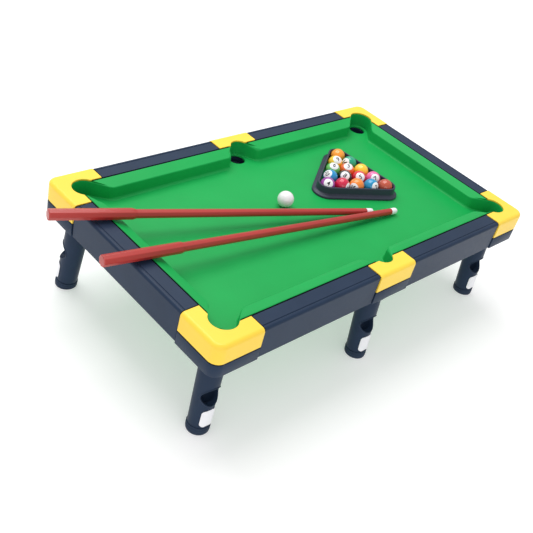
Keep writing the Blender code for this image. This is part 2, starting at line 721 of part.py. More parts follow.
def build_balls():
    ball = ball_mesh(BALL_RADIUS)
    frame = rack_matrix(BED_TOP + GAP + BALL_RADIUS)
    for number, place in zip(RACKED_BALLS, racked_places()):
        spot = Matrix.Translation(frame @ place)
        add_part(f"ball_{number:02d}", ball, BALL_COLOURS[number], 0.15, spot)
    spot = Matrix.Translation((*CUE_BALL_PLACE, BED_TOP + GAP + CUE_BALL_RADIUS))
    add_part("cue_ball", ball_mesh(CUE_BALL_RADIUS), WHITE, 0.15, spot)


def triangle_loop(offset, steps):
    """A triangle with round corners, a set distance outside the corner balls' centres."""
    corners = [place.xy for i, place in enumerate(racked_places()) if i in (0, 10, 14)]
    loop = []
    for centre, start in zip(corners, (150, 270, 30)):
        loop += arc(centre, offset, start - 120, start, steps)
    return loop


def build_rack():
    inner = BALL_RADIUS + RACK_CLEARANCE
    wall = inner + RACK_WALL
    flange = wall + RACK_FLANGE
    mesh = outline_mesh("rack", [triangle_loop(wall, 5), triangle_loop(inner, 5)], 0.0,
                        RACK_HEIGHT)
    frame = rack_matrix(BED_TOP + GAP)
    rack = add_part("rack", smooth_shaded(mesh, 30), CHARCOAL, 0.4, frame)
    lap = triangle_loop(wall - RACK_WALL / 2, 5)
    skirt = outline_mesh("skirt", [triangle_loop(flange, 5), lap], 0.0, RACK_FLANGE_HEIGHT)
    shape(rack, skirt, "UNION", frame)


def cue_matrix(butt, tip):
    """Cue frame: z from butt to tip, resting on the left rail and on the bed."""
    rest_height = RAIL_TOP + GAP + CUE_GRIP_RADIUS
    tip_height = BED_TOP + GAP + CUE_TIP_RADIUS
    share = (-RAIL_INNER_X - butt.x) / (tip.x - butt.x)
    butt_height = tip_height + (rest_height - tip_height) / (1 - share)
    start = Vector((*butt, butt_height))
    end = Vector((*tip, tip_height))
    turn = (end - start).to_track_quat("Z", "Y").to_matrix().to_4x4()
    return Matrix.Translation(start) @ turn, (end - start).length


def build_cues():
    for name, (butt, tip) in CUES.items():
        frame, length = cue_matrix(butt, tip)
        grip = cylinder_mesh("grip", CUE_GRIP_RADIUS, 0.0, CUE_GRIP_LENGTH, (0, 0), 8)
        cue = add_part(name, smooth_shaded(grip, 30), RED, 0.4, frame)
        shaft = cylinder_mesh("shaft", CUE_SHAFT_RADIUS, CUE_GRIP_LENGTH - CUE_LAP,
                              length - FERRULE_LENGTH, (0, 0), 12, CUE_TIP_RADIUS)
        shape(cue, smooth_shaded(shaft), "UNION", frame)
        ferrule = cylinder_mesh("ferrule", CUE_TIP_RADIUS, length - FERRULE_LENGTH + GAP, length,
                                (0, 0), 12, CUE_TIP_RADIUS - GAP)
        add_part(name + "_tip", smooth_shaded(ferrule), WHITE, 0.5, frame)


def stand_at_origin():
    """Bring the middle of the whole set's footprint to the world origin."""
    bpy.context.view_layer.update()
    graph = bpy.context.evaluated_depsgraph_get()
    corners = []
    for item in PARTS.objects:
        if item.type == "MESH":
            solid = item.evaluated_get(graph)
            corners += [item.matrix_world @ vert.co for vert in solid.data.vertices]
    low = Vector((min(c.x for c in corners), min(c.y for c in corners), 0.0))
    high = Vector((max(c.x for c in corners), max(c.y for c in corners), 0.0))
    ORIGIN.location = -(low + high) / 2


def build_table():
    build_tray()
    build_rails()
    build_caps()
    build_sockets()
    build_legs()
    build_balls()
    build_rack()
    build_cues()
    stand_at_origin()


build_table()
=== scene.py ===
"""The looks of the mini pool table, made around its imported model.

Lengths are in metres. Pieces are shaped in the table's own frame, where the middle of the table is at
x = y = 0 and the ground at z = 0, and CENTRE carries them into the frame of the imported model.
"""

import math
from collections import namedtuple

import bmesh
import bpy
from mathutils import Matrix, Vector


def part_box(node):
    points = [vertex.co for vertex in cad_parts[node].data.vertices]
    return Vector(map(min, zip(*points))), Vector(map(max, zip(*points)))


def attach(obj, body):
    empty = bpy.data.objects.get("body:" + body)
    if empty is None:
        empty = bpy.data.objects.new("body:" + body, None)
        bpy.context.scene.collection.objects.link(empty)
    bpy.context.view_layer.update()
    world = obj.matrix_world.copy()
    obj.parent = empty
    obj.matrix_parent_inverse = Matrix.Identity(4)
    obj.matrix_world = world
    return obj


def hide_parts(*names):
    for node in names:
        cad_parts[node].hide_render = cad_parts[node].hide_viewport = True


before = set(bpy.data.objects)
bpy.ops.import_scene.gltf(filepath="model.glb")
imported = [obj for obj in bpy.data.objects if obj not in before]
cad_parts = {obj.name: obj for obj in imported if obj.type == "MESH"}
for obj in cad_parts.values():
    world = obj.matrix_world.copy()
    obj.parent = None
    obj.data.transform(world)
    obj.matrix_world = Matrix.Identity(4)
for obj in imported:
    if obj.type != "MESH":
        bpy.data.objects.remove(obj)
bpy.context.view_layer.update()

Well = namedtuple("Well", "centre radius hole mouth reach")
Pocket = namedtuple("Pocket", "name sx sy leg well")

# ---- sizes read from the frame

TRAY_LOW, TRAY_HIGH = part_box("bed_tray")
CAP_LOW, CAP_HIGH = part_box("cap_back_right")
SIDE_CAP_LOW, SIDE_CAP_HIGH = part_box("cap_back_middle")
RAIL_LOW, RAIL_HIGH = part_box("rail_back_right")
BALL_LOW, BALL_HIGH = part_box("ball_01")

CENTRE = Vector(((TRAY_LOW.x + TRAY_HIGH.x) / 2, (TRAY_LOW.y + TRAY_HIGH.y) / 2, 0.0))
HALF_LENGTH = CAP_HIGH.x - CENTRE.x
HALF_WIDTH = CAP_HIGH.y - CENTRE.y
CAP_TOP = CAP_HIGH.z
CAP_BOTTOM = CAP_LOW.z
CORNER_CAP_REACH = CAP_HIGH.x - CAP_LOW.x
SIDE_CAP_HALF = (SIDE_CAP_HIGH.x - SIDE_CAP_LOW.x) / 2
RAIL_TOP = RAIL_HIGH.z
RAIL_BOTTOM = RAIL_LOW.z
RAIL_FACE_Y = RAIL_HIGH.y - CENTRE.y
RAIL_INNER_Y = RAIL_LOW.y - CENTRE.y
RAIL_WIDTH = RAIL_FACE_Y - RAIL_INNER_Y
RAIL_INNER_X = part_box("rail_right_end")[0].x - CENTRE.x
BALL_RADIUS = (BALL_HIGH.z - BALL_LOW.z) / 2
GAP = 0.0003
BED_TOP = BALL_LOW.z - GAP
BAND_DROP = 0.0005
BAND_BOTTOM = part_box("rail_left_end")[0].z - BAND_DROP

# ---- sizes of the mouldings

RAIL_WALL = 0.0024
CAP_WALL = 0.0020
TRAY_WALL = 0.0022
SHOULDER_RADIUS = 0.0028
SOCKET_FLOOR = 0.0020
GROOVE_INSET = 0.0048
GROOVE_DEPTH = 0.0005
RAIL_LIP_WIDTH = 0.0078
RAIL_LIP_THICKNESS = 0.0018
RAIL_CHAMFER = 0.0008
RAIL_INNER_EDGE = 0.0004
RAIL_END_EDGE = 0.0003
SEAM = 0.0011
# Inset and end slack of the painted shadow plates in the gaps at the rails' ends
GAP_SHADOW_INSET = 0.0005
GAP_SHADOW_SLACK = 0.0001
CUSHION_WIDTH = Vector((0.0130, 0.0145))
CUSHION_SLOPE = 0.0038
CUSHION_FILLET = 0.0030
CUSHION_DRAFT = 0.0007
CUSHION_RIM = Vector((0.0018, 0.0018))
NOSE_ROUNDING = 0.0013
LOBE_ROUNDING = 0.0004
TRAY_SEAM = Vector((0.0015, 0.0015))
TRAY_EDGE = 0.0007
FLANGE_WIDTH = Vector((0.0035, 0.0035))
FLANGE_DROP = 0.0028
FLANGE_THICKNESS = 0.0020
LONG_HOLLOW = (0.0245, 0.1610)
END_HOLLOW_HALF = 0.0670
CORNER_JAW_ROUNDING = 0.0110
SIDE_JAW_ROUNDING = 0.0075
JAW_EDGE = 0.0038
WELL_FILLET = 0.0003
# How far below the rail tops the top of the painted seam shadow strip lies
SEAM_SHADOW_DROP = 0.0003
LOBE_WALL = 0.0016
# Where one shape of the tray turns into the next: a share of the cushion's width from the nose
# for the rise to the lobes, lengths past the nose line for the wells, and along the table
LOBE_RISE = (1.030, 1.064)
WELL_START = (-0.001, 0.006)
CAP_COVER = (0.004, 0.009)
SIDE_JAW_END = (0.030, 0.045)
CORNER_WELL = Well(Vector((0.1945, 0.1009)), 0.0126, Vector((0.1960, 0.1023)), 0.0140, 0.0300)
SIDE_WELL = Well(Vector((0.0, 0.1055)), 0.0115, Vector((0.0, 0.1063)), 0.0215, 0.0140)
HOLE_RADIUS = 0.0092
HOLE_EDGE = 0.0009
CORNER_ROUNDING = 0.0100
CAP_SHOULDER = 0.0040
CAP_EDGE = 0.0005
CORNER_NOTCH_RADIUS = 0.0130
SIDE_NOTCH = Vector((0.0, 0.1045))
SIDE_NOTCH_RADIUS = 0.0110

CORNER_FOOT = Vector((0.2015, 0.1080))
SIDE_FOOT = Vector((0.0, 0.1150))
CORNER_SPLAY = math.radians(4.0)
SIDE_SPLAY = math.radians(5.5)
LEG_TURN = {"back_left": math.radians(45.0)}
LEG_RADIUS_TOP = 0.0114
LEG_RADIUS_BOTTOM = 0.0103
LEG_SHOULDER = 0.0717
LEG_TOP = 0.0915
SPIGOT_RADIUS = 0.0106
LEG_EDGE = 0.0005
BORE_RADIUS = 0.0091
PORT_HEIGHT = 0.0420
PORT_RADIUS = 0.0098
PORT_BEAD = 0.00055
SEAT_HEIGHT = 0.0395
SEAT_WALL = 0.0030
LEG_HOLLOW_RADIUS = 0.0074
STUB_RADIUS = 0.0094
STUB_LENGTH = 0.0037
RIM_CHAMFER = 0.0010
FOOT_HEIGHT = 0.0070
FOOT_RADIUS = 0.0110
FOOT_FLOOR = 0.0030
FOOT_EXCESS = 0.0025
FOOT_GROOVE = 0.0004
SOCKET_RADIUS = 0.0125
SOCKET_TOP = 0.0970
SOCKET_DEPTH = 0.0300
SOCKET_CHAMFER = 0.0200
SOCKET_EDGE = 0.0004
BALL_HOLE_RADIUS = 0.0101
SIDE_BOSS_RADIUS = 0.0150
BOSS_INSET = 0.0002
BOSS_SKIRT = 0.0015
LABEL_LOW = 0.0090
LABEL_HIGH = 0.0275
LABEL_WIDTH = 0.0150
LABEL_THICKNESS = 0.0006
LABEL_CORNER = 0.0036
LABEL_BACK_INSET = 0.0002

RACK_CENTRE = Vector((0.0913, 0.0202))
RACK_TURN = math.radians(-25.5)
BALL_SPACING = 0.0173
RACK_CLEARANCE = 0.0009
RACK_WALL = 0.0021
RACK_FLANGE = 0.0042
RACK_HEIGHT = 0.0114
RACK_EDGE = 0.0007
RACK_LIP = 0.0010
RACK_RIM = 0.0002
RACK_FILLET = 0.0016
RACK_FILLET_HEIGHT = 0.0046
CUE_GRIP_LENGTH = 0.0785
CUE_GRIP_RADIUS = 0.0054
CUE_SHAFT_RADIUS = 0.0043
CUE_TIP_RADIUS = 0.0035
FERRULE_LENGTH = 0.0090
CUE_EDGE = 0.0008
CUE_TAPER = 0.0030
CUE_STEP = 0.0001
TIP_HEIGHT = 0.0018
TIP_INSET = 0.0003
CUES = {
    "cue_1": (Vector((-0.2545, 0.0665)), Vector((0.0683, -0.0366))),
    "cue_2": (Vector((-0.2475, -0.0056)), Vector((0.0956, -0.0469))),
}

RAIL_INNER = Vector((RAIL_INNER_X, RAIL_INNER_Y))
TRAY_HALF = RAIL_INNER - TRAY_SEAM
TRAY_BOTTOM = BED_TOP - TRAY_WALL
NOSE_HALF = RAIL_INNER - CUSHION_WIDTH
NOSE_TOP = RAIL_TOP - CUSHION_SLOPE
LOBE_TOP = CAP_TOP - CAP_WALL - GAP
CORNERS = {"front_left": (-1, -1), "front_right": (1, -1), "back_left": (-1, 1),
           "back_right": (1, 1)}
SIDES = {"front": -1, "back": 1}
HANDS = {"left": -1, "right": 1}
OUTER_CENTRE = (HALF_LENGTH - CORNER_ROUNDING, HALF_WIDTH - CORNER_ROUNDING)
CAP_START_X = HALF_LENGTH - CORNER_CAP_REACH
CAP_START_Y = HALF_WIDTH - CORNER_CAP_REACH
FINE = 48
TINY = 1e-7

# Colours, as linear red, green and blue
DARK = (0.018, 0.034, 0.068)
CHARCOAL = (0.036, 0.042, 0.068)
GREEN = (0.007, 0.365, 0.077)
YELLOW = (1.0, 0.675, 0.068)
WHITE = (0.90, 0.90, 0.94)
RED = (0.430, 0.030, 0.024)
INK = (0.018, 0.018, 0.022)
# Near-black painted shadow, laid as sheets in the seams and gaps between the mouldings
SHADOW = (0.002, 0.003, 0.005)

# Each ball's colour, and where its number disc faces: turn round z and height above the
# horizon in degrees, and the number's own turn on the disc.
BALLS = {
    1: ((0.95, 0.60, 0.04), (40, -20, 0)),
    2: ((0.01, 0.27, 0.52), (-94, 25, 10)),
    3: ((0.88, 0.13, 0.03), (-145, 71, 20)),
    4: ((0.33, 0.05, 0.34), (-138, 43, -15)),
    5: ((0.70, 0.02, 0.04), (-134, 42, 25)),
    6: ((0.14, 0.52, 0.12), (-137, 72, -15)),
    7: ((0.82, 0.15, 0.38), (-122, 35, 30)),
    8: ((0.008, 0.008, 0.009), (-147, 48, -20)),
    9: ((0.92, 0.58, 0.04), (-118, 64, 25)),
    10: ((0.01, 0.26, 0.55), (169, 44, -20)),
    11: ((0.62, 0.01, 0.06), (-76, 8, 15)),
    12: ((0.50, 0.08, 0.04), (30, -30, 0)),
    13: ((0.92, 0.33, 0.03), (50, -25, 0)),
    14: ((0.01, 0.34, 0.19), (174, 19, -10)),
    15: ((0.90, 0.25, 0.03), (-164, 3, 10)),
}
DISC_ANGLE = math.radians(37.5)
NUMBER_SIZE = 0.00675
NUMBER_BOLDNESS = 0.00015
NUMBER_RELIEF = 0.00006
NUMBER_ROOT = 0.00004

FLOOR_SIZE = 12
FLOOR_DROP = 0.0002
FLOOR_GREY = 0.72
FLOOR_GLOW = 0.38
ROOM_LIGHT = 0.66
# Each soft light's place from the table's middle on the ground, size and power
LIGHTS = {
    "key": ((0.05, 0.6, 1.4), (1.2, 1.2), 18),
    "fill": ((-1.0, -1.2, 0.6), (1.2, 0.8), 4),
}
LENS = 54.80
VIEW_FROM = Vector((-0.56517, -0.42212, 0.54016))
VIEW_RIGHT = Vector((0.72418, -0.65388, 0.21912))
VIEW_UP = Vector((0.27826, 0.56778, 0.77472))
VIEW_FORWARD = Vector((0.63098, 0.50007, -0.59312))


# ---- mesh helpers

def arc(centre, radius, start, end, steps):
    """Points on an arc, angles in degrees, both ends included."""
    angles = [math.radians(start + (end - start) * i / steps) for i in range(steps + 1)]
    return [Vector((centre[0] + radius * math.cos(a), centre[1] + radius * math.sin(a)))
            for a in angles]


def rounding(*angles):
    """How far a rounded edge has come in and down at each angle, as shares of its radius."""
    return [(1 - math.cos(math.radians(a)), 1 - math.sin(math.radians(a))) for a in angles]


def oblong(x_low, x_high, y_low, y_high):
    return [(x_low, y_low), (x_low, y_high), (x_high, y_high), (x_high, y_low)]


def mirrored(loop, sx, sy):
    return [Vector((sx * p[0], sy * p[1])) for p in loop]


def mesh_from(name, work):
    bmesh.ops.remove_doubles(work, verts=work.verts, dist=TINY)
    bmesh.ops.recalc_face_normals(work, faces=work.faces)
    mesh = bpy.data.meshes.new(name)
    work.to_mesh(mesh)
    work.free()
    return mesh


def skin_rings(work, rings, join_ends=False, caps=False):
    """Faces between a row of closed rings with equally many points; returns their verts."""
    rows = [[work.verts.new(p) for p in ring] for ring in rings]
    pairs = list(zip(rows, rows[1:]))
    if join_ends:
        pairs.append((rows[-1], rows[0]))
    for low, high in pairs:
        for i in range(len(low)):
            j = (i + 1) % len(low)
            work.faces.new((low[i], low[j], high[j], high[i]))
    if caps:
        work.faces.new(list(reversed(rows[0])))
        work.faces.new(rows[-1])
    return rows


def loft(name, rings, join_ends=False, caps=False):
    work = bmesh.new()
    skin_rings(work, rings, join_ends, caps)
    bmesh.ops.remove_doubles(work, verts=work.verts, dist=TINY)
    bmesh.ops.dissolve_degenerate(work, dist=TINY, edges=work.edges)
    return mesh_from(name, work)


def turned(name, profile, steps=FINE):
    """A profile of (radius, height) points turned about z."""
    turns = [2 * math.pi * i / steps for i in range(steps)]
    rings = [[Vector((r * math.cos(a), r * math.sin(a), z)) for a in turns] for r, z in profile]
    return loft(name, rings)


def slab(name, loop, low, high):
    """A flat outline raised from low to high."""
    return loft(name, [[(p[0], p[1], z) for p in loop] for z in (low, high)], caps=True)


def hull(name, points):
    work = bmesh.new()
    for point in points:
        work.verts.new(point)
    made = bmesh.ops.convex_hull(work, input=work.verts)
    loose = [v for v in made["geom_interior"] if isinstance(v, bmesh.types.BMVert)]
    bmesh.ops.delete(work, geom=loose, context="VERTS")
    return mesh_from(name, work)


def new_object(name, data):
    made = bpy.data.objects.new(name, data)
    bpy.context.scene.collection.objects.link(made)
    return made


def new_piece(name, mesh, material, matrix=None):
    piece = new_object(name, mesh)
    piece.matrix_world = Matrix.Translation(CENTRE) @ (matrix or Matrix.Identity(4))
    if material:
        mesh.materials.append(material)
    return piece


def boolean(piece, tool_mesh, operation, matrix=None):
    """Cut a piece with a tool or join the tool to it, at once."""
    tool = new_piece(piece.name + "_tool", tool_mesh, None, matrix)
    modifier = piece.modifiers.new("shape", "BOOLEAN")
    modifier.operation = operation
    modifier.object = tool
    modifier.solver = "EXACT"
    settle(piece)
    bpy.data.objects.remove(tool)


def final_mesh(thing):
    """A mesh of an object as it shows, with its modifiers."""
    bpy.context.view_layer.update()
    graph = bpy.context.evaluated_depsgraph_get()
    return bpy.data.meshes.new_from_object(thing.evaluated_get(graph))


def settle(piece):
    """Make the piece's modifiers part of its mesh."""
    mesh = final_mesh(piece)
    piece.modifiers.clear()
    piece.data = mesh


def soften(piece, width, segments, angle):
    """Round the piece's edges that turn by more than an angle."""
    bevel = piece.modifiers.new("edges", "BEVEL")
    bevel.width = width
    bevel.segments = segments
    bevel.limit_method = "ANGLE"
    bevel.angle_limit = math.radians(angle)
    bevel.use_clamp_overlap = False
    bevel.miter_outer = "MITER_ARC"
    settle(piece)


def shade(piece, angle, weighted=False):
    piece.data.shade_smooth()
    piece.data.set_sharp_from_angle(angle=math.radians(angle))
    if weighted:
        even = piece.modifiers.new("even_shading", "WEIGHTED_NORMAL")
        even.keep_sharp = True
        settle(piece)


def place(piece, body, slot, *nodes):
    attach(piece, body)
    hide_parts(*nodes)
    return piece


# ---- materials

def link(tree, source, output, target, socket):
    tree.links.new(source.outputs[output], target.inputs[socket])


def tune(node, values):
    """Set a node's own sockets; returns the node."""
    for socket, value in values.items():
        node.inputs[socket].default_value = value
    return node


def noise(tree, coordinates, scale, detail, stretch=None):
    """A cloud of a given number of blots a metre."""
    cloud = tune(tree.nodes.new("ShaderNodeTexNoise"), {"Scale": scale, "Detail": detail})
    source = (coordinates, "Object")
    if stretch:
        mapping = tune(tree.nodes.new("ShaderNodeMapping"), {"Scale": stretch})
        link(tree, *source, mapping, "Vector")
        source = (mapping, "Vector")
    link(tree, *source, cloud, "Vector")
    return cloud


def plastic(name, colour, roughness, blot=45, shade_range=0.06, grain=1400, relief=20,
            gloss_range=0.06, coat=0.0, stretch=None, specular=0.5):
    """A moulded plastic: slow colour drift, fine grain of a relief in micrometres, uneven gloss."""
    material = bpy.data.materials.new(name)
    material.use_nodes = True
    tree = material.node_tree
    shader = tune(tree.nodes["Principled BSDF"],
                  {"Coat Weight": coat, "Coat Roughness": 0.12, "Specular IOR Level": specular})
    coordinates = tree.nodes.new("ShaderNodeTexCoord")

    drift = noise(tree, coordinates, blot, 3.0, stretch)
    ramp = tree.nodes.new("ShaderNodeValToRGB")
    for stop, share in zip(ramp.color_ramp.elements, (1 - shade_range, 1 + shade_range)):
        stop.color = (*[min(1.0, c * share) for c in colour], 1.0)
    ramp.color_ramp.elements[0].position = 0.3
    ramp.color_ramp.elements[1].position = 0.7
    link(tree, drift, "Fac", ramp, "Fac")
    link(tree, ramp, "Color", shader, "Base Color")

    smear = noise(tree, coordinates, blot * 4, 4.0, stretch)
    gloss = tune(tree.nodes.new("ShaderNodeMapRange"),
                 {"To Min": roughness - gloss_range, "To Max": roughness + gloss_range})
    link(tree, smear, "Fac", gloss, "Value")
    link(tree, gloss, "Result", shader, "Roughness")

    pits = noise(tree, coordinates, grain, 2.0, stretch)
    bump = tune(tree.nodes.new("ShaderNodeBump"), {"Strength": 1.0, "Distance": relief * 1e-6})
    link(tree, pits, "Fac", bump, "Height")
    link(tree, bump, "Normal", shader, "Normal")
    return material


DARK_PLASTIC = plastic("dark_moulding", DARK, 0.36, relief=22, specular=0.14)
RACK_PLASTIC = plastic("rack_moulding", CHARCOAL, 0.34, relief=15, specular=0.25)
FOOT_RUBBER = plastic("foot_moulding", DARK, 0.55, blot=90, relief=30, specular=0.2)
# Painted shadow: a matte near-black material for the strips and plates in the seams, where only shade
# shows
SEAM_SHADOW_PAINT = plastic("painted_seam_shadow", SHADOW, 0.8, blot=90, relief=10, specular=0.05)
BED_PLASTIC = plastic("bed_moulding", GREEN, 0.45, blot=28, shade_range=0.035, grain=1900,
                      relief=30, specular=0.18)
CAP_PLASTIC = plastic("cap_moulding", YELLOW, 0.33, blot=30, shade_range=0.03, relief=8,
                      coat=0.06, specular=0.25)
LABEL_PLASTIC = plastic("label_plate", WHITE, 0.45, blot=120, shade_range=0.03, relief=10)
CUE_PAINT = plastic("cue_paint", RED, 0.36, blot=110, shade_range=0.10, grain=900, relief=15,
                    coat=0.2, stretch=(1.0, 1.0, 0.06))
FERRULE_PLASTIC = plastic("ferrule", WHITE, 0.42, blot=200, shade_range=0.03, relief=10)
DISC_WHITE = plastic("number_disc", (0.88, 0.88, 0.90), 0.16, blot=150, shade_range=0.02,
                     relief=2, gloss_range=0.03, coat=0.4)
NUMBER_INK = plastic("number_ink", INK, 0.25, blot=150, relief=2)
CUE_BALL_WHITE = plastic("cue_ball_resin", (0.86, 0.86, 0.88), 0.14, blot=90, shade_range=0.02,
                         relief=2, gloss_range=0.03, coat=0.5)


# ---- bed tray

def rounded_corner(before, corner, after, radius, steps):
    """An arc that rounds the corner of a path."""
    back = (before - corner).normalized()
    on = (after - corner).normalized()
    half = back.angle(on) / 2
    reach = radius / math.tan(half)
    middle = corner + (back + on).normalized() * (radius / math.sin(half))
    start = corner + back * reach - middle
    end = corner + on * reach - middle
    first = math.atan2(start.y, start.x)
    turn = start.angle_signed(end)
    return [middle + radius * Vector((math.cos(first - turn * i / steps),
                                      math.sin(first - turn * i / steps)))
            for i in range(steps + 1)]


def jaw(well, lip, side, nose, axis):
    """Where the jaw leaves the well, on its left (1) or right (-1), as an angle and a point,
    and where it meets the cushion's nose line."""
    away = lip - well.centre
    angle = math.atan2(away.y, away.x) + side * math.acos(well.radius / away.length)
    touch = well.centre + well.radius * Vector((math.cos(angle), math.sin(angle)))
    share = (nose - touch[axis]) / (lip[axis] - touch[axis])
    return math.degrees(angle), touch, touch + (lip - touch) * share


def nose_outline_quarter():
    """Plan of the cushion noses, jaws and wells, from the side pocket to the right end."""
    side, corner = SIDE_WELL, CORNER_WELL
    lip = side.centre + Vector((side.mouth, -side.reach))
    side_angle, side_touch, side_nose = jaw(side, lip, 1, NOSE_HALF.y, 1)
    inward = Vector((-1, -1)).normalized()
    across = Vector((1, -1)).normalized()
    throat = corner.centre + inward * corner.reach
    long_angle, long_touch, long_nose = jaw(corner, throat - across * corner.mouth, -1,
                                            NOSE_HALF.y, 1)
    end_angle, end_touch, end_nose = jaw(corner, throat + across * corner.mouth, 1,
                                         NOSE_HALF.x, 0)
    middle = Vector((NOSE_HALF.x, 0.0))
    path = arc(side.centre, side.radius, 90, side_angle, 20)
    path += rounded_corner(side_touch, side_nose, long_nose, SIDE_JAW_ROUNDING, 12)
    path += rounded_corner(side_nose, long_nose, long_touch, CORNER_JAW_ROUNDING, 12)
    path += arc(corner.centre, corner.radius, long_angle % 360, end_angle, 40)
    path += rounded_corner(end_touch, end_nose, middle, CORNER_JAW_ROUNDING, 12)
    return path


def full_loop(quarter):
    """A closed loop, clockwise, from the quarter that runs clockwise from the +y axis."""
    right = quarter + [Vector((p.x, -p.y)) for p in reversed(quarter)]
    left = [Vector((-p.x, p.y)) for p in reversed(right)]
    loop = right + left
    return [p for i, p in enumerate(loop) if (p - loop[i - 1]).length > 1e-6]


def outward_steps(loop):
    """Unit offset of each point of a clockwise loop, away from its inside."""
    steps = []
    for i, point in enumerate(loop):
        before = (point - loop[i - 1]).normalized()
        after = (loop[(i + 1) % len(loop)] - point).normalized()
        normals = [Vector((-d.y, d.x)) for d in (before, after)]
        middle = (normals[0] + normals[1]).normalized()
        steps.append(middle / max(0.5, middle.dot(normals[0])))
    return steps


def past_nose(point):
    return max(abs(point.x) - NOSE_HALF.x, abs(point.y) - NOSE_HALF.y)


def blend_share(value, low, high):
    share = min(1.0, max(0.0, (value - low) / (high - low)))
    return share * share * (3 - 2 * share)


def cushion_top(point):
    """Height of the tray's upper face: sloping cushions, and lobes under the caps."""
    run = TRAY_HALF - NOSE_HALF
    share = max((abs(point.x) - NOSE_HALF.x) / run.x, (abs(point.y) - NOSE_HALF.y) / run.y)
    slope = NOSE_TOP + CUSHION_SLOPE * min(1.0, max(0.0, share))
    return slope + (LOBE_TOP - slope) * blend_share(share, *LOBE_RISE)


def tray_edge_quarter():
    """Plan of the tray's outer edge, with the lobes that carry the wells."""
    side, corner = SIDE_WELL.centre, CORNER_WELL.centre
    side_radius = SIDE_WELL.radius + LOBE_WALL
    corner_radius = CORNER_WELL.radius + LOBE_WALL
    side_end = math.degrees(math.asin((TRAY_HALF.y - side.y) / side_radius))
    start = 180 - math.degrees(math.asin((TRAY_HALF.y - corner.y) / corner_radius))
    end = -math.degrees(math.acos((TRAY_HALF.x - corner.x) / corner_radius))
    return arc(side, side_radius, 90, side_end, 16) + arc(corner, corner_radius, start, end, 32)


def fill_between(work, *rings):
    """Flat triangles between closed rings of verts; inner rings are left open."""
    edges = []
    for ring in rings:
        for i, vert in enumerate(ring):
            pair = (vert, ring[(i + 1) % len(ring)])
            edges.append(work.edges.get(pair) or work.edges.new(pair))
    bmesh.ops.triangle_fill(work, edges=edges, use_beauty=True, use_dissolve=False)


def tray_rings(loop, steps):
    """Rings of the swept wall: bed fillet, wall, nose rounding."""
    rings = []
    inside = [blend_share(past_nose(p), *WELL_START) for p in loop]
    for rise, run in rounding(0, 18, 36, 54, 72, 90):
        ring = []
        for point, step, share in zip(loop, steps, inside):
            radius = CUSHION_FILLET + (WELL_FILLET - CUSHION_FILLET) * share
            offset = -CUSHION_DRAFT * (1 - share) - radius * run
            ring.append(Vector((*(point + step * offset), BED_TOP + radius * rise)))
        rings.append(ring)
    under_cap = [blend_share(past_nose(p), *CAP_COVER) for p in loop]
    for run, drop in rounding(0, 22, 45, 67, 90):
        ring = []
        for point, step, share in zip(loop, steps, under_cap):
            near_side = 1 - blend_share(abs(point.x), *SIDE_JAW_END)
            slant = 2 * min(abs(step.x), abs(step.y)) * near_side
            soft = NOSE_ROUNDING + (JAW_EDGE - NOSE_ROUNDING) * min(1.0, slant)
            radius = soft + (LOBE_ROUNDING - soft) * share
            top = cushion_top(point + step * radius)
            ring.append(Vector((*(point + step * radius * run), top - radius * drop)))
        rings.append(ring)
    return rings


def hole_rings(centre, sx, sy):
    """Rings of a pocket's hole, from its rounded rim down to the tray's underside."""
    rings = []
    for drop, run in rounding(0, 22, 45, 67, 90):
        radius = HOLE_RADIUS + HOLE_EDGE * run
        plan = arc((sx * centre.x, sy * centre.y), radius, 0, 352.5, 47)
        rings.append([Vector((*p, BED_TOP - HOLE_EDGE * drop)) for p in plan])
    rings.append([Vector((p.x, p.y, TRAY_BOTTOM)) for p in rings[-1]])
    return rings


def edge_rings(edge):
    """Rings of the tray's outer side, from its rounded top edge down."""
    rings = []
    steps = outward_steps(edge)
    for run, drop in rounding(90, 60, 30, 0):
        rings.append([Vector((*(p - s * (TRAY_EDGE * run)), cushion_top(p) - TRAY_EDGE * drop))
                      for p, s in zip(edge, steps)])
    rings.append([Vector((*p, TRAY_BOTTOM)) for p in edge])
    return rings


def build_tray():
    work = bmesh.new()
    loop = full_loop(nose_outline_quarter())
    wall = skin_rings(work, tray_rings(loop, outward_steps(loop)))
    skirt = skin_rings(work, edge_rings(full_loop(tray_edge_quarter())))
    holes = [skin_rings(work, hole_rings(pocket.well.hole, pocket.sx, pocket.sy))
             for pocket in pockets()]
    fill_between(work, wall[0], *[rows[0] for rows in holes])
    fill_between(work, skirt[-1], *[rows[-1] for rows in holes])
    heights = {vert: vert.co.z for vert in wall[-1] + skirt[0]}
    for vert in heights:
        vert.co.z = 0.0
    fill_between(work, wall[-1], skirt[0])
    for vert, height in heights.items():
        vert.co.z = height
    tray = new_piece("bed_tray_moulding", mesh_from("bed_tray", work), BED_PLASTIC)
    for hollow in cushion_hollows():
        boolean(tray, hollow, "DIFFERENCE")
    boolean(tray, tray_flange(), "UNION")
    shade(tray, 32, weighted=True)
    place(tray, "table", "bed_green", "bed_tray")


def cushion_hollows():
    """Spaces under the six cushions, open at the bottom."""
    floor = TRAY_BOTTOM - TRAY_WALL
    roof = NOSE_TOP - TRAY_WALL
    inner = NOSE_HALF + Vector((TRAY_WALL, TRAY_WALL))
    outer = TRAY_HALF - CUSHION_RIM
    long = oblong(*LONG_HOLLOW, inner.y, outer.y)
    end = oblong(inner.x, outer.x, -END_HOLLOW_HALF, END_HOLLOW_HALF)
    plans = [mirrored(long, sx, sy) for sx, sy in CORNERS.values()]
    plans += [mirrored(end, sx, 1) for sx in HANDS.values()]
    for plan in plans:
        yield slab("hollow", plan, floor, roof)


def square_ring(name, outer, inner, low, high):
    """A rectangular frame around the table's middle, between two heights."""
    rings = [[(*p, z) for p in oblong(-half.x, half.x, -half.y, half.y)]
             for half, z in ((outer, low), (outer, high), (inner, high), (inner, low))]
    return loft(name, rings, join_ends=True)


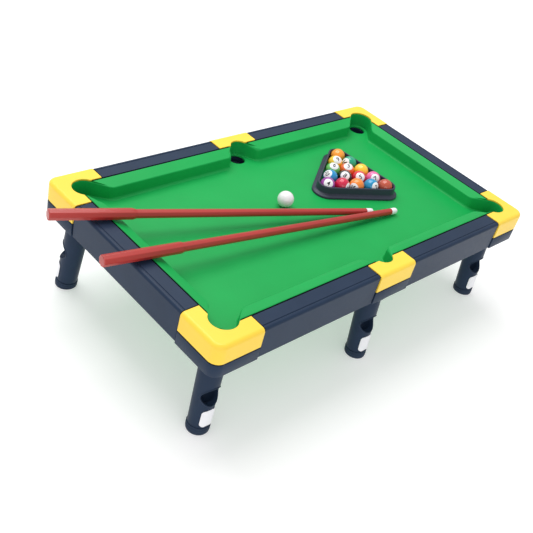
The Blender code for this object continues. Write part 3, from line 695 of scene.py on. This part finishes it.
def cut_wells(piece, wall):
    """Leave room in a piece for the six wells and a wall round each."""
    for pocket in pockets():
        radius = pocket.well.radius + wall
        room = turned("well", [(0, CAP_TOP), (radius, CAP_TOP), (radius, BED_TOP), (0, BED_TOP)])
        spot = (pocket.sx * pocket.well.centre.x, pocket.sy * pocket.well.centre.y, 0)
        boolean(piece, room, "DIFFERENCE", Matrix.Translation(spot))


def tray_flange():
    """The rim that lies on the inside of the rails, broken at the wells."""
    outer = TRAY_HALF + FLANGE_WIDTH
    inner = TRAY_HALF - CUSHION_RIM / 2
    high = RAIL_TOP - FLANGE_DROP
    low = high - FLANGE_THICKNESS
    flange = new_piece("flange", square_ring("flange", outer, inner, low, high), None)
    cut_wells(flange, LOBE_WALL / 2)
    mesh = flange.data
    bpy.data.objects.remove(flange)
    return mesh


def build_joint():
    """Painted shadow: a near-black strip in the seam between the tray and the rails and caps, which
    stands in for the shade down in that gap.
    """
    outer = RAIL_INNER - TRAY_SEAM / 20
    inner = TRAY_HALF + TRAY_SEAM / 20
    high = RAIL_TOP - SEAM_SHADOW_DROP
    low = RAIL_TOP - FLANGE_DROP
    joint = new_piece("tray_seam_shadow", square_ring("joint", outer, inner, low, high), SEAM_SHADOW_PAINT)
    cut_wells(joint, LOBE_WALL + GAP)
    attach(joint, "table")


# ---- rails

def rail_profile():
    """Section of a rail: x outward from its inner edge, y up from its top."""
    outer = RAIL_WIDTH
    height = RAIL_TOP - RAIL_BOTTOM
    inner_edge = arc((RAIL_INNER_EDGE, -RAIL_INNER_EDGE), RAIL_INNER_EDGE, 180, 90, 4)
    middle = outer - GROOVE_INSET + GROOVE_DEPTH
    soft = GROOVE_DEPTH / 2
    reach = GROOVE_DEPTH + 1.4 * soft
    groove = (arc((middle - reach, -soft), soft, 90, 20, 3)
              + arc((middle, -soft / 2), GROOVE_DEPTH, 200, 340, 8)
              + arc((middle + reach, -soft), soft, 160, 90, 3))
    shoulder = arc((outer - SHOULDER_RADIUS, -SHOULDER_RADIUS), SHOULDER_RADIUS, 90, 0, 12)
    foot = arc((outer - RAIL_CHAMFER, RAIL_CHAMFER - height), RAIL_CHAMFER, 0, -90, 4)
    lip_top = RAIL_LIP_THICKNESS - height
    lip, wall = outer - RAIL_LIP_WIDTH, outer - RAIL_WALL
    inside = [(lip, -height), (lip, lip_top), (wall, lip_top), (wall, -RAIL_WALL),
              (0.0, -RAIL_WALL)]
    return inner_edge + groove + shoulder + foot + inside


def rail_rings(profile, outward, inner, ends):
    """A rail section at both ends of a run along the table's edge."""
    outward = Vector((*outward, 0))
    up = Vector((0, 0, 1))
    along = outward.cross(up)
    base = outward * inner + up * RAIL_TOP
    return [[base + outward * x + up * y + along * t for x, y in profile] for t in ends]


def rail_runs():
    """Each rail's name, start, end, outward direction and inner edge."""
    start = SIDE_CAP_HALF + SEAM
    end = CAP_START_X - SEAM
    for side, sy in SIDES.items():
        along = Vector((0, sy, 0)).cross(Vector((0, 0, 1))).x
        for hand, sx in HANDS.items():
            run = sorted((start * sx * along, end * sx * along))
            yield f"rail_{side}_{hand}", run[0], run[1], (0, sy), RAIL_INNER_Y
    half = CAP_START_Y - SEAM
    for hand, sx in HANDS.items():
        yield f"rail_{hand}_end", -half, half, (sx, 0), RAIL_INNER_X


def build_rails():
    profile = rail_profile()
    for name, start, end, outward, inner in rail_runs():
        rings = rail_rings(profile, outward, inner, (start, end))
        rail = new_piece(name + "_moulding", loft(name, rings, caps=True), DARK_PLASTIC)
        soften(rail, RAIL_END_EDGE, 2, 60)
        shade(rail, 40, weighted=True)
        place(rail, "table", "dark_plastic", name)


def gap_profile():
    """Section of the plates of painted shadow in the gaps at the rails' ends."""
    height = RAIL_TOP - RAIL_BOTTOM - GAP_SHADOW_INSET
    side = RAIL_WIDTH - GAP_SHADOW_INSET
    middle = (RAIL_WIDTH - SHOULDER_RADIUS, -SHOULDER_RADIUS)
    shoulder = arc(middle, SHOULDER_RADIUS - GAP_SHADOW_INSET, 90, 0, 8)
    hollow = arc(middle, SHOULDER_RADIUS - RAIL_WALL, 0, 90, 8)
    ends = [(side, -height), (RAIL_WIDTH - RAIL_WALL, -height)]
    return [(0.0, -GAP_SHADOW_INSET)] + shoulder + ends + hollow + [(0.0, -RAIL_WALL)]


def build_rail_joints():
    """Plates of painted shadow: near-black sheets that close the gaps between the rails and the caps,
    where only shade would show.
    """
    work = bmesh.new()
    profile = gap_profile()
    for _, start, end, outward, inner in rail_runs():
        for low in (start - SEAM, end):
            ends = (low + GAP_SHADOW_SLACK, low + SEAM - GAP_SHADOW_SLACK)
            skin_rings(work, rail_rings(profile, outward, inner, ends), caps=True)
    gap_shadows = new_piece("rail_gap_shadows", mesh_from("rail_gap_shadows", work), SEAM_SHADOW_PAINT)
    shade(gap_shadows, 40)
    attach(gap_shadows, "table")


# ---- pocket caps and sockets

def outer_corner(inset=0.0):
    """The table's rounded back right corner in plan."""
    return arc(OUTER_CENTRE, CORNER_ROUNDING - inset, 90, 0, 14)


def corner_cap_outline():
    """Plan of a back right corner cap, with the round notch over the pocket."""
    notch = CORNER_NOTCH_RADIUS
    start = -math.degrees(math.acos((RAIL_INNER_X - CORNER_WELL.centre.x) / notch))
    end = 180 - math.degrees(math.asin((RAIL_INNER_Y - CORNER_WELL.centre.y) / notch))
    return ([(CAP_START_X, RAIL_INNER_Y), (CAP_START_X, HALF_WIDTH)] + outer_corner()
            + [(HALF_LENGTH, CAP_START_Y), (RAIL_INNER_X, CAP_START_Y)]
            + arc(CORNER_WELL.centre, notch, start, end, 32))


def side_cap_outline():
    """Plan of the back middle cap."""
    rise = RAIL_INNER_Y - SIDE_NOTCH.y
    start = math.degrees(math.asin(rise / SIDE_NOTCH_RADIUS))
    return (oblong(-SIDE_CAP_HALF, SIDE_CAP_HALF, RAIL_INNER_Y, HALF_WIDTH)
            + arc(SIDE_NOTCH, SIDE_NOTCH_RADIUS, start, 180 - start, 24))


def room_mesh(pocket, wall, low, high):
    """The space inside the outer walls at a pocket, open towards the table."""
    if pocket.well is CORNER_WELL:
        low_x = HALF_LENGTH - 2 * CORNER_CAP_REACH
        low_y = HALF_WIDTH - 2 * CORNER_CAP_REACH
        plan = ([(low_x, low_y), (low_x, HALF_WIDTH - wall)] + outer_corner(wall)
                + [(HALF_LENGTH - wall, low_y)])
    else:
        half = 2 * SIDE_CAP_HALF
        low_y = HALF_WIDTH - 2 * SOCKET_DEPTH
        plan = oblong(-half, half, low_y, HALF_WIDTH - wall)
    return slab("room", mirrored(plan, pocket.sx, pocket.sy), low, high)


def round_shoulder(mesh):
    """Round a cap's top edges where they face away from the table."""
    work = bmesh.new()
    work.from_mesh(mesh)

    def on_shoulder(edge):
        top = all(v.co.z > CAP_TOP - GAP for v in edge.verts)
        middle = (edge.verts[0].co + edge.verts[1].co) / 2
        outer = Vector((abs(middle.x), abs(middle.y)))
        corner = Vector(OUTER_CENTRE)
        straight = outer.x > HALF_LENGTH - GAP or outer.y > HALF_WIDTH - GAP
        rounded = (outer.x > corner.x and outer.y > corner.y
                   and (outer - corner).length > CORNER_ROUNDING * 0.97)
        return top and (straight or rounded)

    edges = [e for e in work.edges if on_shoulder(e)]
    bmesh.ops.bevel(work, geom=edges, offset=CAP_SHOULDER, segments=10, profile=0.5,
                    affect="EDGES", clamp_overlap=False)
    return mesh_from(mesh.name, work)


def pockets():
    """All six pockets, each with its side signs, its leg's frame and its well."""
    for name, (sx, sy) in CORNERS.items():
        turn = Matrix.Rotation(LEG_TURN.get(name, 0.0), 4, "Z")
        leg = leg_matrix(CORNER_FOOT, CORNER_SPLAY, sx, sy) @ turn
        yield Pocket(name, sx, sy, leg, CORNER_WELL)
    for name, sy in SIDES.items():
        yield Pocket(name + "_middle", 1, sy, leg_matrix(SIDE_FOOT, SIDE_SPLAY, 1, sy), SIDE_WELL)


def leg_matrix(foot, splay, sx, sy):
    """Leg frame: z up the leaning leg, y outward across the table, origin on the ground."""
    along = Vector((-sx * math.tan(splay if foot.x else 0.0), -sy * math.tan(splay), 1.0))
    along.normalize()
    across = Vector((0, sy, 0)).cross(along).normalized()
    outward = along.cross(across)
    turn = Matrix((across, outward, along)).transposed().to_4x4()
    return Matrix.Translation((sx * foot.x, sy * foot.y, 0)) @ turn


def build_caps():
    for pocket in pockets():
        plan = corner_cap_outline() if pocket.well is CORNER_WELL else side_cap_outline()
        plan = mirrored(plan, pocket.sx, pocket.sy)
        mesh = round_shoulder(slab(pocket.name, plan, CAP_BOTTOM, CAP_TOP))
        cap = new_piece(f"cap_{pocket.name}_moulding", mesh, CAP_PLASTIC)
        room = room_mesh(pocket, CAP_WALL, CAP_BOTTOM - CAP_WALL, CAP_TOP - CAP_WALL)
        boolean(cap, room, "DIFFERENCE")
        soften(cap, CAP_EDGE, 3, 40)
        shade(cap, 40, weighted=True)
        place(cap, "table", "cap_yellow", "cap_" + pocket.name)


def ring_points(centre, radius, height, matrix=None):
    ring = [Vector((*p, height)) for p in arc(centre, radius, 0, 360 - 360 / FINE, FINE - 1)]
    return [matrix @ p for p in ring] if matrix else ring


def socket_boss(pocket):
    """The fairing that runs from the band down around the top of the leg."""
    if pocket.well is CORNER_WELL:
        centre = OUTER_CENTRE
        radius = CORNER_ROUNDING - BOSS_INSET
    else:
        centre = (0.0, HALF_WIDTH - SIDE_BOSS_RADIUS - BOSS_INSET)
        radius = SIDE_BOSS_RADIUS
    centre = (pocket.sx * centre[0], pocket.sy * centre[1])
    level = BAND_BOTTOM + BOSS_INSET
    points = ring_points((0, 0), SOCKET_RADIUS, LEG_SHOULDER + GAP, pocket.leg)
    points += ring_points((0, 0), SOCKET_RADIUS, SOCKET_TOP, pocket.leg)
    points += ring_points(centre, radius, level)
    points += ring_points(centre, radius, level + BOSS_SKIRT)
    return hull("boss", points)


def socket_bore():
    """Room for the leg's spigot, and the ball's hole above it."""
    ledge = LEG_TOP + GAP
    bore = SPIGOT_RADIUS + GAP
    top = SOCKET_TOP + SPIGOT_RADIUS
    floor = LEG_SHOULDER - SPIGOT_RADIUS
    return turned("bore", [(0, top), (BALL_HOLE_RADIUS, top), (BALL_HOLE_RADIUS, ledge),
                           (bore, ledge), (bore, floor), (0, floor)])


def socket_plan(well):
    if well is SIDE_WELL:
        return oblong(-SIDE_CAP_HALF, SIDE_CAP_HALF, HALF_WIDTH - SOCKET_DEPTH, HALF_WIDTH)
    return ([(CAP_START_X, CAP_START_Y + SOCKET_CHAMFER), (CAP_START_X, HALF_WIDTH)]
            + outer_corner()
            + [(HALF_LENGTH, CAP_START_Y), (CAP_START_X + SOCKET_CHAMFER, CAP_START_Y)])


def build_sockets():
    for pocket in pockets():
        plan = mirrored(socket_plan(pocket.well), pocket.sx, pocket.sy)
        mesh = slab(pocket.name, plan, BAND_BOTTOM, CAP_BOTTOM - SEAM)
        socket = new_piece(f"socket_{pocket.name}_moulding", mesh, DARK_PLASTIC)
        room = room_mesh(pocket, RAIL_WALL, BAND_BOTTOM + SOCKET_FLOOR, CAP_TOP)
        boolean(socket, room, "DIFFERENCE")
        soften(socket, SOCKET_EDGE, 2, 50)
        boolean(socket, socket_boss(pocket), "UNION")
        boolean(socket, socket_bore(), "DIFFERENCE", pocket.leg)
        shade(socket, 30)
        place(socket, "table", "dark_plastic", "socket_" + pocket.name)


# ---- legs, feet and labels

def leg_radius(height):
    share = (height - FOOT_HEIGHT) / (LEG_SHOULDER - FOOT_HEIGHT)
    return LEG_RADIUS_BOTTOM + (LEG_RADIUS_TOP - LEG_RADIUS_BOTTOM) * share


def leg_profile():
    """Section of a leg: ball seat and bore, rim, spigot, tapered body and hollow foot."""
    seat = [(BORE_RADIUS * math.sin(a), SEAT_HEIGHT - BORE_RADIUS * math.cos(a))
            for a in (math.radians(9 * i) for i in range(11))]
    edge = LEG_EDGE
    shoulder = arc((LEG_RADIUS_TOP - edge, LEG_SHOULDER - edge), edge, 90, 0, 4)
    hollow_top = SEAT_HEIGHT - BORE_RADIUS - SEAT_WALL
    stub_bottom = FOOT_HEIGHT - STUB_LENGTH
    return seat + [(BORE_RADIUS, LEG_TOP - RIM_CHAMFER), (BORE_RADIUS + RIM_CHAMFER, LEG_TOP),
                   (SPIGOT_RADIUS - edge / 2, LEG_TOP), (SPIGOT_RADIUS, LEG_TOP - edge / 2),
                   (SPIGOT_RADIUS, LEG_SHOULDER)] + shoulder + [
        (LEG_RADIUS_BOTTOM, FOOT_HEIGHT + GAP), (STUB_RADIUS, FOOT_HEIGHT + GAP),
        (STUB_RADIUS, stub_bottom), (LEG_HOLLOW_RADIUS, stub_bottom),
        (LEG_HOLLOW_RADIUS, hollow_top), (0.0, hollow_top)]


def port_bead():
    """The raised rim around a leg's exit port: a round bead laid along its edge."""
    reach = PORT_RADIUS + PORT_BEAD * 0.6
    path = []
    for turn in (2 * math.pi * i / 72 for i in range(72)):
        across, height = reach * math.cos(turn), PORT_HEIGHT + reach * math.sin(turn)
        path.append(Vector((across, math.sqrt(leg_radius(height) ** 2 - across ** 2), height)))
    rings = []
    for i, point in enumerate(path):
        normal = Vector((point.x, point.y, 0)).normalized()
        side = (path[(i + 1) % len(path)] - path[i - 1]).normalized().cross(normal).normalized()
        rings.append([point + PORT_BEAD * (math.cos(a) * normal + math.sin(a) * side)
                      for a in (math.radians(36 * k) for k in range(10))])
    return loft("bead", rings, join_ends=True)


def build_leg(name, leg):
    """A leg with the ball's exit port in its outer side."""
    piece = new_piece(f"leg_{name}_tube", turned("leg", leg_profile(), 64), DARK_PLASTIC, leg)
    aside = Matrix.Translation((0, 0, PORT_HEIGHT)) @ Matrix.Rotation(-math.pi / 2, 4, "X")
    reach = 2 * LEG_RADIUS_TOP
    port = turned("port", [(0, reach), (PORT_RADIUS, reach), (PORT_RADIUS, 0), (0, 0)], 64)
    boolean(piece, port, "DIFFERENCE", leg @ aside)
    boolean(piece, port_bead(), "UNION", leg)
    shade(piece, 35)
    place(piece, "table", "dark_plastic", "leg_" + name)


def foot_profile():
    """Section of a foot collar with two shallow rings round it."""
    outer, top, bore, deep = FOOT_RADIUS, FOOT_HEIGHT, STUB_RADIUS + GAP, FOOT_GROOVE
    side = ((0.0006, 0.0), (0.0002, 0.0002), (0.0, 0.0006), (0.0, 0.0014), (deep, 0.0019),
            (deep, 0.0022), (0.0, 0.0028), (0.0, 0.0044), (deep, 0.0049), (deep, 0.0052),
            (0.0001, 0.0058), (0.0003, 0.0064), (0.0008, top + FOOT_EXCESS))
    return ([(0.0, FOOT_FLOOR), (bore, FOOT_FLOOR), (bore, top)]
            + [(outer - inset, top - drop) for inset, drop in side] + [(0.0, -FOOT_EXCESS)])


def build_foot(name, leg):
    work = bmesh.new()
    work.from_mesh(turned("foot", foot_profile(), 64))
    bmesh.ops.transform(work, verts=work.verts, matrix=leg)
    geometry = work.verts[:] + work.edges[:] + work.faces[:]
    cut = bmesh.ops.bisect_plane(work, geom=geometry, plane_co=(0, 0, 0), plane_no=(0, 0, 1),
                                 clear_inner=True)
    rim = [e for e in cut["geom_cut"] if isinstance(e, bmesh.types.BMEdge)]
    bmesh.ops.edgeloop_fill(work, edges=rim)
    piece = new_piece(f"foot_{name}_collar", mesh_from("foot", work), FOOT_RUBBER)
    shade(piece, 30)
    place(piece, "table", "dark_plastic", "foot_" + name)


def label_outline(inset):
    """Plan of a label in width and height, drawn in from its edge."""
    half = LABEL_WIDTH / 2
    middle_height = (LABEL_LOW + LABEL_HIGH) / 2
    half_height = (LABEL_HIGH - LABEL_LOW) / 2
    loop = []
    for sx, sy, start in ((1, 1, 0), (-1, 1, 90), (-1, -1, 180), (1, -1, 270)):
        middle = (sx * (half - LABEL_CORNER), middle_height + sy * (half_height - LABEL_CORNER))
        loop += arc(middle, LABEL_CORNER - inset, start, start + 90, 8)
    return loop


def label_ring(inset, share, lift):
    """The label's plan wrapped on the leg, shrunk to its middle by a share."""
    middle = Vector((0, (LABEL_LOW + LABEL_HIGH) / 2))
    ring = []
    for point in label_outline(inset):
        flat = middle + (point - middle) * share
        radius = leg_radius(flat.y) + GAP + lift
        ring.append(Vector((flat.x, math.sqrt(radius * radius - flat.x * flat.x), flat.y)))
    return ring


def build_label(name, leg):
    thick = LABEL_THICKNESS
    edge = thick * 0.7
    shares = (0.02, 0.2, 0.4, 0.6, 0.8, 1.0)
    rings = [label_ring(LABEL_BACK_INSET, share, 0.0) for share in shares]
    rings += [label_ring(edge * run, 1.0, thick - edge * drop)
              for run, drop in rounding(0, 30, 60, 90)]
    rings += [label_ring(edge, share, thick) for share in reversed(shares[:-1])]
    mesh = loft("label", rings, caps=True)
    piece = new_piece(f"label_{name}_plate", mesh, LABEL_PLASTIC, leg)
    shade(piece, 50)
    place(piece, "table", "label_white", "label_" + name)


def build_legs():
    for pocket in pockets():
        build_leg(pocket.name, pocket.leg)
        build_foot(pocket.name, pocket.leg)
        build_label(pocket.name, pocket.leg)


# ---- balls

def facing(turn, height, roll):
    """Matrix whose z axis points at a turn and height, with its y axis as upright as can be."""
    turn, height, roll = math.radians(turn), math.radians(height), math.radians(roll)
    out = Vector((math.cos(height) * math.cos(turn), math.cos(height) * math.sin(turn),
                  math.sin(height)))
    side = Vector((-math.sin(turn), math.cos(turn), 0))
    up = out.cross(side)
    basis = Matrix((side, up, out)).transposed().to_4x4()
    return basis @ Matrix.Rotation(roll, 4, "Z")


def ball_mesh(name, size, disc):
    """A sphere; the cap round its +z pole takes the second material where there is a disc."""
    steps = [DISC_ANGLE * i / 6 for i in range(7)]
    steps += [DISC_ANGLE + (math.pi - DISC_ANGLE) * i / 26 for i in range(1, 27)]
    profile = [(size * math.sin(a), size * math.cos(a)) for a in steps]
    mesh = turned(name, profile, FINE)
    if disc:
        edge = size * math.cos(DISC_ANGLE)
        for face in mesh.polygons:
            face.material_index = int(face.center.z > edge)
    mesh.shade_smooth()
    return mesh


def number_mesh(number):
    """The ball's number, thin and wrapped on the sphere round its +z pole."""
    text = bpy.data.curves.new(f"number_{number}", "FONT")
    text.body = str(number)
    text.align_x = "CENTER"
    text.align_y = "CENTER"
    text.size = NUMBER_SIZE
    text.space_character = 0.9
    text.offset = NUMBER_BOLDNESS
    writer = new_object("writer", text)
    mesh = final_mesh(writer)
    bpy.data.objects.remove(writer)
    work = bmesh.new()
    work.from_mesh(mesh)
    bmesh.ops.remove_doubles(work, verts=work.verts, dist=1e-6)
    bmesh.ops.triangulate(work, faces=work.faces)
    bmesh.ops.subdivide_edges(work, edges=work.edges, cuts=2, use_grid_fill=True)
    xs, ys = [v.co.x for v in work.verts], [v.co.y for v in work.verts]
    middle = Vector(((min(xs) + max(xs)) / 2, (min(ys) + max(ys)) / 2, 0))
    raised = bmesh.ops.extrude_face_region(work, geom=work.faces[:])
    upper = {v for v in raised["geom"] if isinstance(v, bmesh.types.BMVert)}
    for vert in work.verts:
        flat = vert.co - middle
        radius = BALL_RADIUS + (NUMBER_RELIEF if vert in upper else -NUMBER_ROOT)
        vert.co = Vector((flat.x, flat.y, math.sqrt(radius ** 2 - flat.x ** 2 - flat.y ** 2)))
    return mesh_from(f"number_{number}", work)


def build_ball(node, colour_material, turn=None, number=None):
    low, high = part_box(node)
    size = (high.z - low.z) / 2
    spot = Matrix.Translation((low + high) / 2 - CENTRE)
    spin = facing(*turn) if turn else Matrix.Identity(4)
    mesh = ball_mesh(node, size, number)
    ball = new_piece(node + "_shell", mesh, None, spot @ spin)
    mesh.materials.append(colour_material)
    place(ball, node + "_body", node if number else "cue_ball_white", node)
    if number:
        mesh.materials.append(DISC_WHITE)
        digits = new_piece(node + "_number", number_mesh(number), NUMBER_INK, spot @ spin)
        shade(digits, 50)
        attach(digits, node + "_body")


def build_balls():
    for number, (colour, turn) in BALLS.items():
        resin = plastic(f"ball_{number:02d}_resin", colour, 0.14, blot=90, shade_range=0.05,
                        relief=2, gloss_range=0.03, coat=0.3)
        build_ball(f"ball_{number:02d}", resin, turn, number)
    build_ball("cue_ball", CUE_BALL_WHITE)


# ---- rack and cues

def rack_corners():
    """Centres of the three corner balls, in the rack's own plan."""
    for row, shift in ((0, 0.0), (4, -2.0), (4, 2.0)):
        yield Vector((shift * BALL_SPACING, (8 / 3 - row) * BALL_SPACING * math.sqrt(3) / 2))


def triangle_loop(offset):
    """A triangle with round corners, a set distance outside the corner balls' centres."""
    loop = []
    for centre, start in zip(rack_corners(), (150, 270, 30)):
        loop += arc(centre, offset, start - 120, start, 20)
    return loop


def rack_section():
    """Section of the rack: offset from the corner balls' centres, and height."""
    inner = BALL_RADIUS + RACK_CLEARANCE
    wall = inner + RACK_WALL
    flange = wall + RACK_FLANGE
    edge = RACK_EDGE
    top = RACK_HEIGHT - edge
    foot = arc((wall + RACK_FILLET, RACK_FILLET_HEIGHT), RACK_FILLET, 180, 250, 5)
    rim = arc((flange - RACK_LIP, RACK_LIP + RACK_RIM), RACK_LIP, 70, 0, 4)
    return ([Vector((inner, 0.0)), Vector((inner, top))]
            + arc((inner + edge, top), edge, 180, 90, 4) + arc((wall - edge, top), edge, 90, 0, 4)
            + foot + rim + [Vector((flange, 0.0))])


def build_rack():
    rings = [[Vector((*p, height)) for p in triangle_loop(offset)]
             for offset, height in rack_section()]
    mesh = loft("rack", rings, join_ends=True)
    lift = Matrix.Translation((*RACK_CENTRE, BED_TOP + GAP))
    piece = new_piece("rack_frame", mesh, RACK_PLASTIC, lift @ Matrix.Rotation(RACK_TURN, 4, "Z"))
    shade(piece, 40)
    place(piece, "rack_body", "rack_charcoal", "rack")


def cue_matrix(butt, tip):
    """Cue frame: z from butt to tip, resting on the left rail and on the bed."""
    rest_height = RAIL_TOP + GAP + CUE_GRIP_RADIUS
    tip_height = BED_TOP + GAP + CUE_TIP_RADIUS
    share = (-RAIL_INNER_X - butt.x) / (tip.x - butt.x)
    start = Vector((*butt, tip_height + (rest_height - tip_height) / (1 - share)))
    end = Vector((*tip, tip_height))
    turn = (end - start).to_track_quat("Z", "Y").to_matrix().to_4x4()
    return Matrix.Translation(start) @ turn, (end - start).length


def cue_ring(height, radius, facets):
    """A ring of the cue; facets is 1 on the eight-sided grip and 0 on the round shaft."""
    ring = []
    sides, soft = 8, math.radians(20)
    half = math.pi / sides
    for i in range(96):
        turn = 2 * math.pi * i / 96
        off_middle = min(soft, abs((turn % (2 * half)) - half))
        faceted = radius * math.cos(half) / math.cos(off_middle)
        size = radius + (faceted - radius) * facets
        ring.append(Vector((size * math.cos(turn), size * math.sin(turn), height)))
    return ring


def stick_rings(end):
    """Rings of a cue's stick: rounded butt, faceted grip, taper and shaft up to the ferrule."""
    edge, grip, shaft, length = CUE_EDGE, CUE_GRIP_RADIUS, CUE_SHAFT_RADIUS, CUE_GRIP_LENGTH
    rows = [(0.0, grip - edge, 1), (edge * 0.3, grip - edge * 0.3, 1), (edge, grip, 1),
            (length - 1.2 * CUE_TAPER, grip, 1), (length - CUE_TAPER, grip - CUE_STEP, 1),
            (length, shaft + CUE_STEP, 1), (length + CUE_TAPER / 3, shaft, 1),
            ((length + end) / 2, (shaft + CUE_TIP_RADIUS) / 2, 0.8), (end, CUE_TIP_RADIUS, 0.3)]
    return [cue_ring(*row) for row in rows]


def ferrule_profile(start, length):
    """Section of the white ferrule and its domed tip."""
    radius = CUE_TIP_RADIUS
    profile = [(0.0, start), (radius - TIP_INSET, start), (radius, start + TIP_INSET),
               (radius - CUE_STEP, length - TIP_HEIGHT - CUE_EDGE)]
    return profile + [((radius - TIP_INSET) * math.cos(a),
                       length - TIP_HEIGHT + TIP_HEIGHT * math.sin(a))
                      for a in (math.radians(t) for t in range(0, 91, 15))]


def build_cues():
    for name, (butt, tip) in CUES.items():
        matrix, length = cue_matrix(butt, tip)
        end = length - FERRULE_LENGTH
        mesh = loft(name, stick_rings(end), caps=True)
        stick = new_piece(name + "_stick", mesh, CUE_PAINT, matrix)
        shade(stick, 18)
        place(stick, name + "_body", "cue_red", name)
        profile = ferrule_profile(end + GAP, length)
        ferrule = new_piece(name + "_ferrule", turned(name, profile), FERRULE_PLASTIC, matrix)
        shade(ferrule, 40)
        place(ferrule, name + "_body", "ferrule_white", name + "_tip")


# ---- stage, light and camera

def build_stage():
    """A pale floor, and soft light from above and from the viewer's side."""
    bpy.ops.mesh.primitive_plane_add(size=FLOOR_SIZE, location=(0, 0, -FLOOR_DROP))
    floor = bpy.context.object
    floor.name = "studio_floor"
    paint = plastic("floor_paint", (FLOOR_GREY,) * 3, 0.8, blot=3, shade_range=0.01)
    tune(paint.node_tree.nodes["Principled BSDF"],
         {"Emission Color": (1.0, 1.0, 1.0, 1.0), "Emission Strength": FLOOR_GLOW})
    floor.data.materials.append(paint)

    world = bpy.data.worlds.new("studio")
    bpy.context.scene.world = world
    world.use_nodes = True
    tune(world.node_tree.nodes["Background"],
         {"Color": (1.0, 1.0, 1.0, 1.0), "Strength": ROOM_LIGHT})

    for name, (spot, size, power) in LIGHTS.items():
        light = bpy.data.lights.new(name, "AREA")
        light.shape = "RECTANGLE"
        light.size, light.size_y = size
        light.energy = power
        lamp = new_object(name, light)
        lamp.location = CENTRE + Vector(spot)
        lamp.rotation_euler = (-Vector(spot)).to_track_quat("-Z", "Y").to_euler()


def build_camera():
    """The viewer stands at the front left corner and looks down on the table."""
    camera = bpy.data.cameras.new("viewer")
    camera.lens = LENS
    camera.sensor_width = 36.0
    camera.clip_start = 0.01
    viewer = new_object("viewer", camera)
    turn = Matrix((VIEW_RIGHT, VIEW_UP, -VIEW_FORWARD)).transposed().to_4x4()
    viewer.matrix_world = Matrix.Translation(CENTRE + VIEW_FROM) @ turn
    bpy.context.scene.camera = viewer


def set_colours():
    """Show the colours as they are, without a film curve."""
    view = bpy.context.scene.view_settings
    view.view_transform = "Standard"
    view.look = "None"


build_tray()
build_joint()
build_rails()
build_rail_joints()
build_caps()
build_sockets()
build_legs()
build_balls()
build_rack()
build_cues()
build_stage()
build_camera()
set_colours()
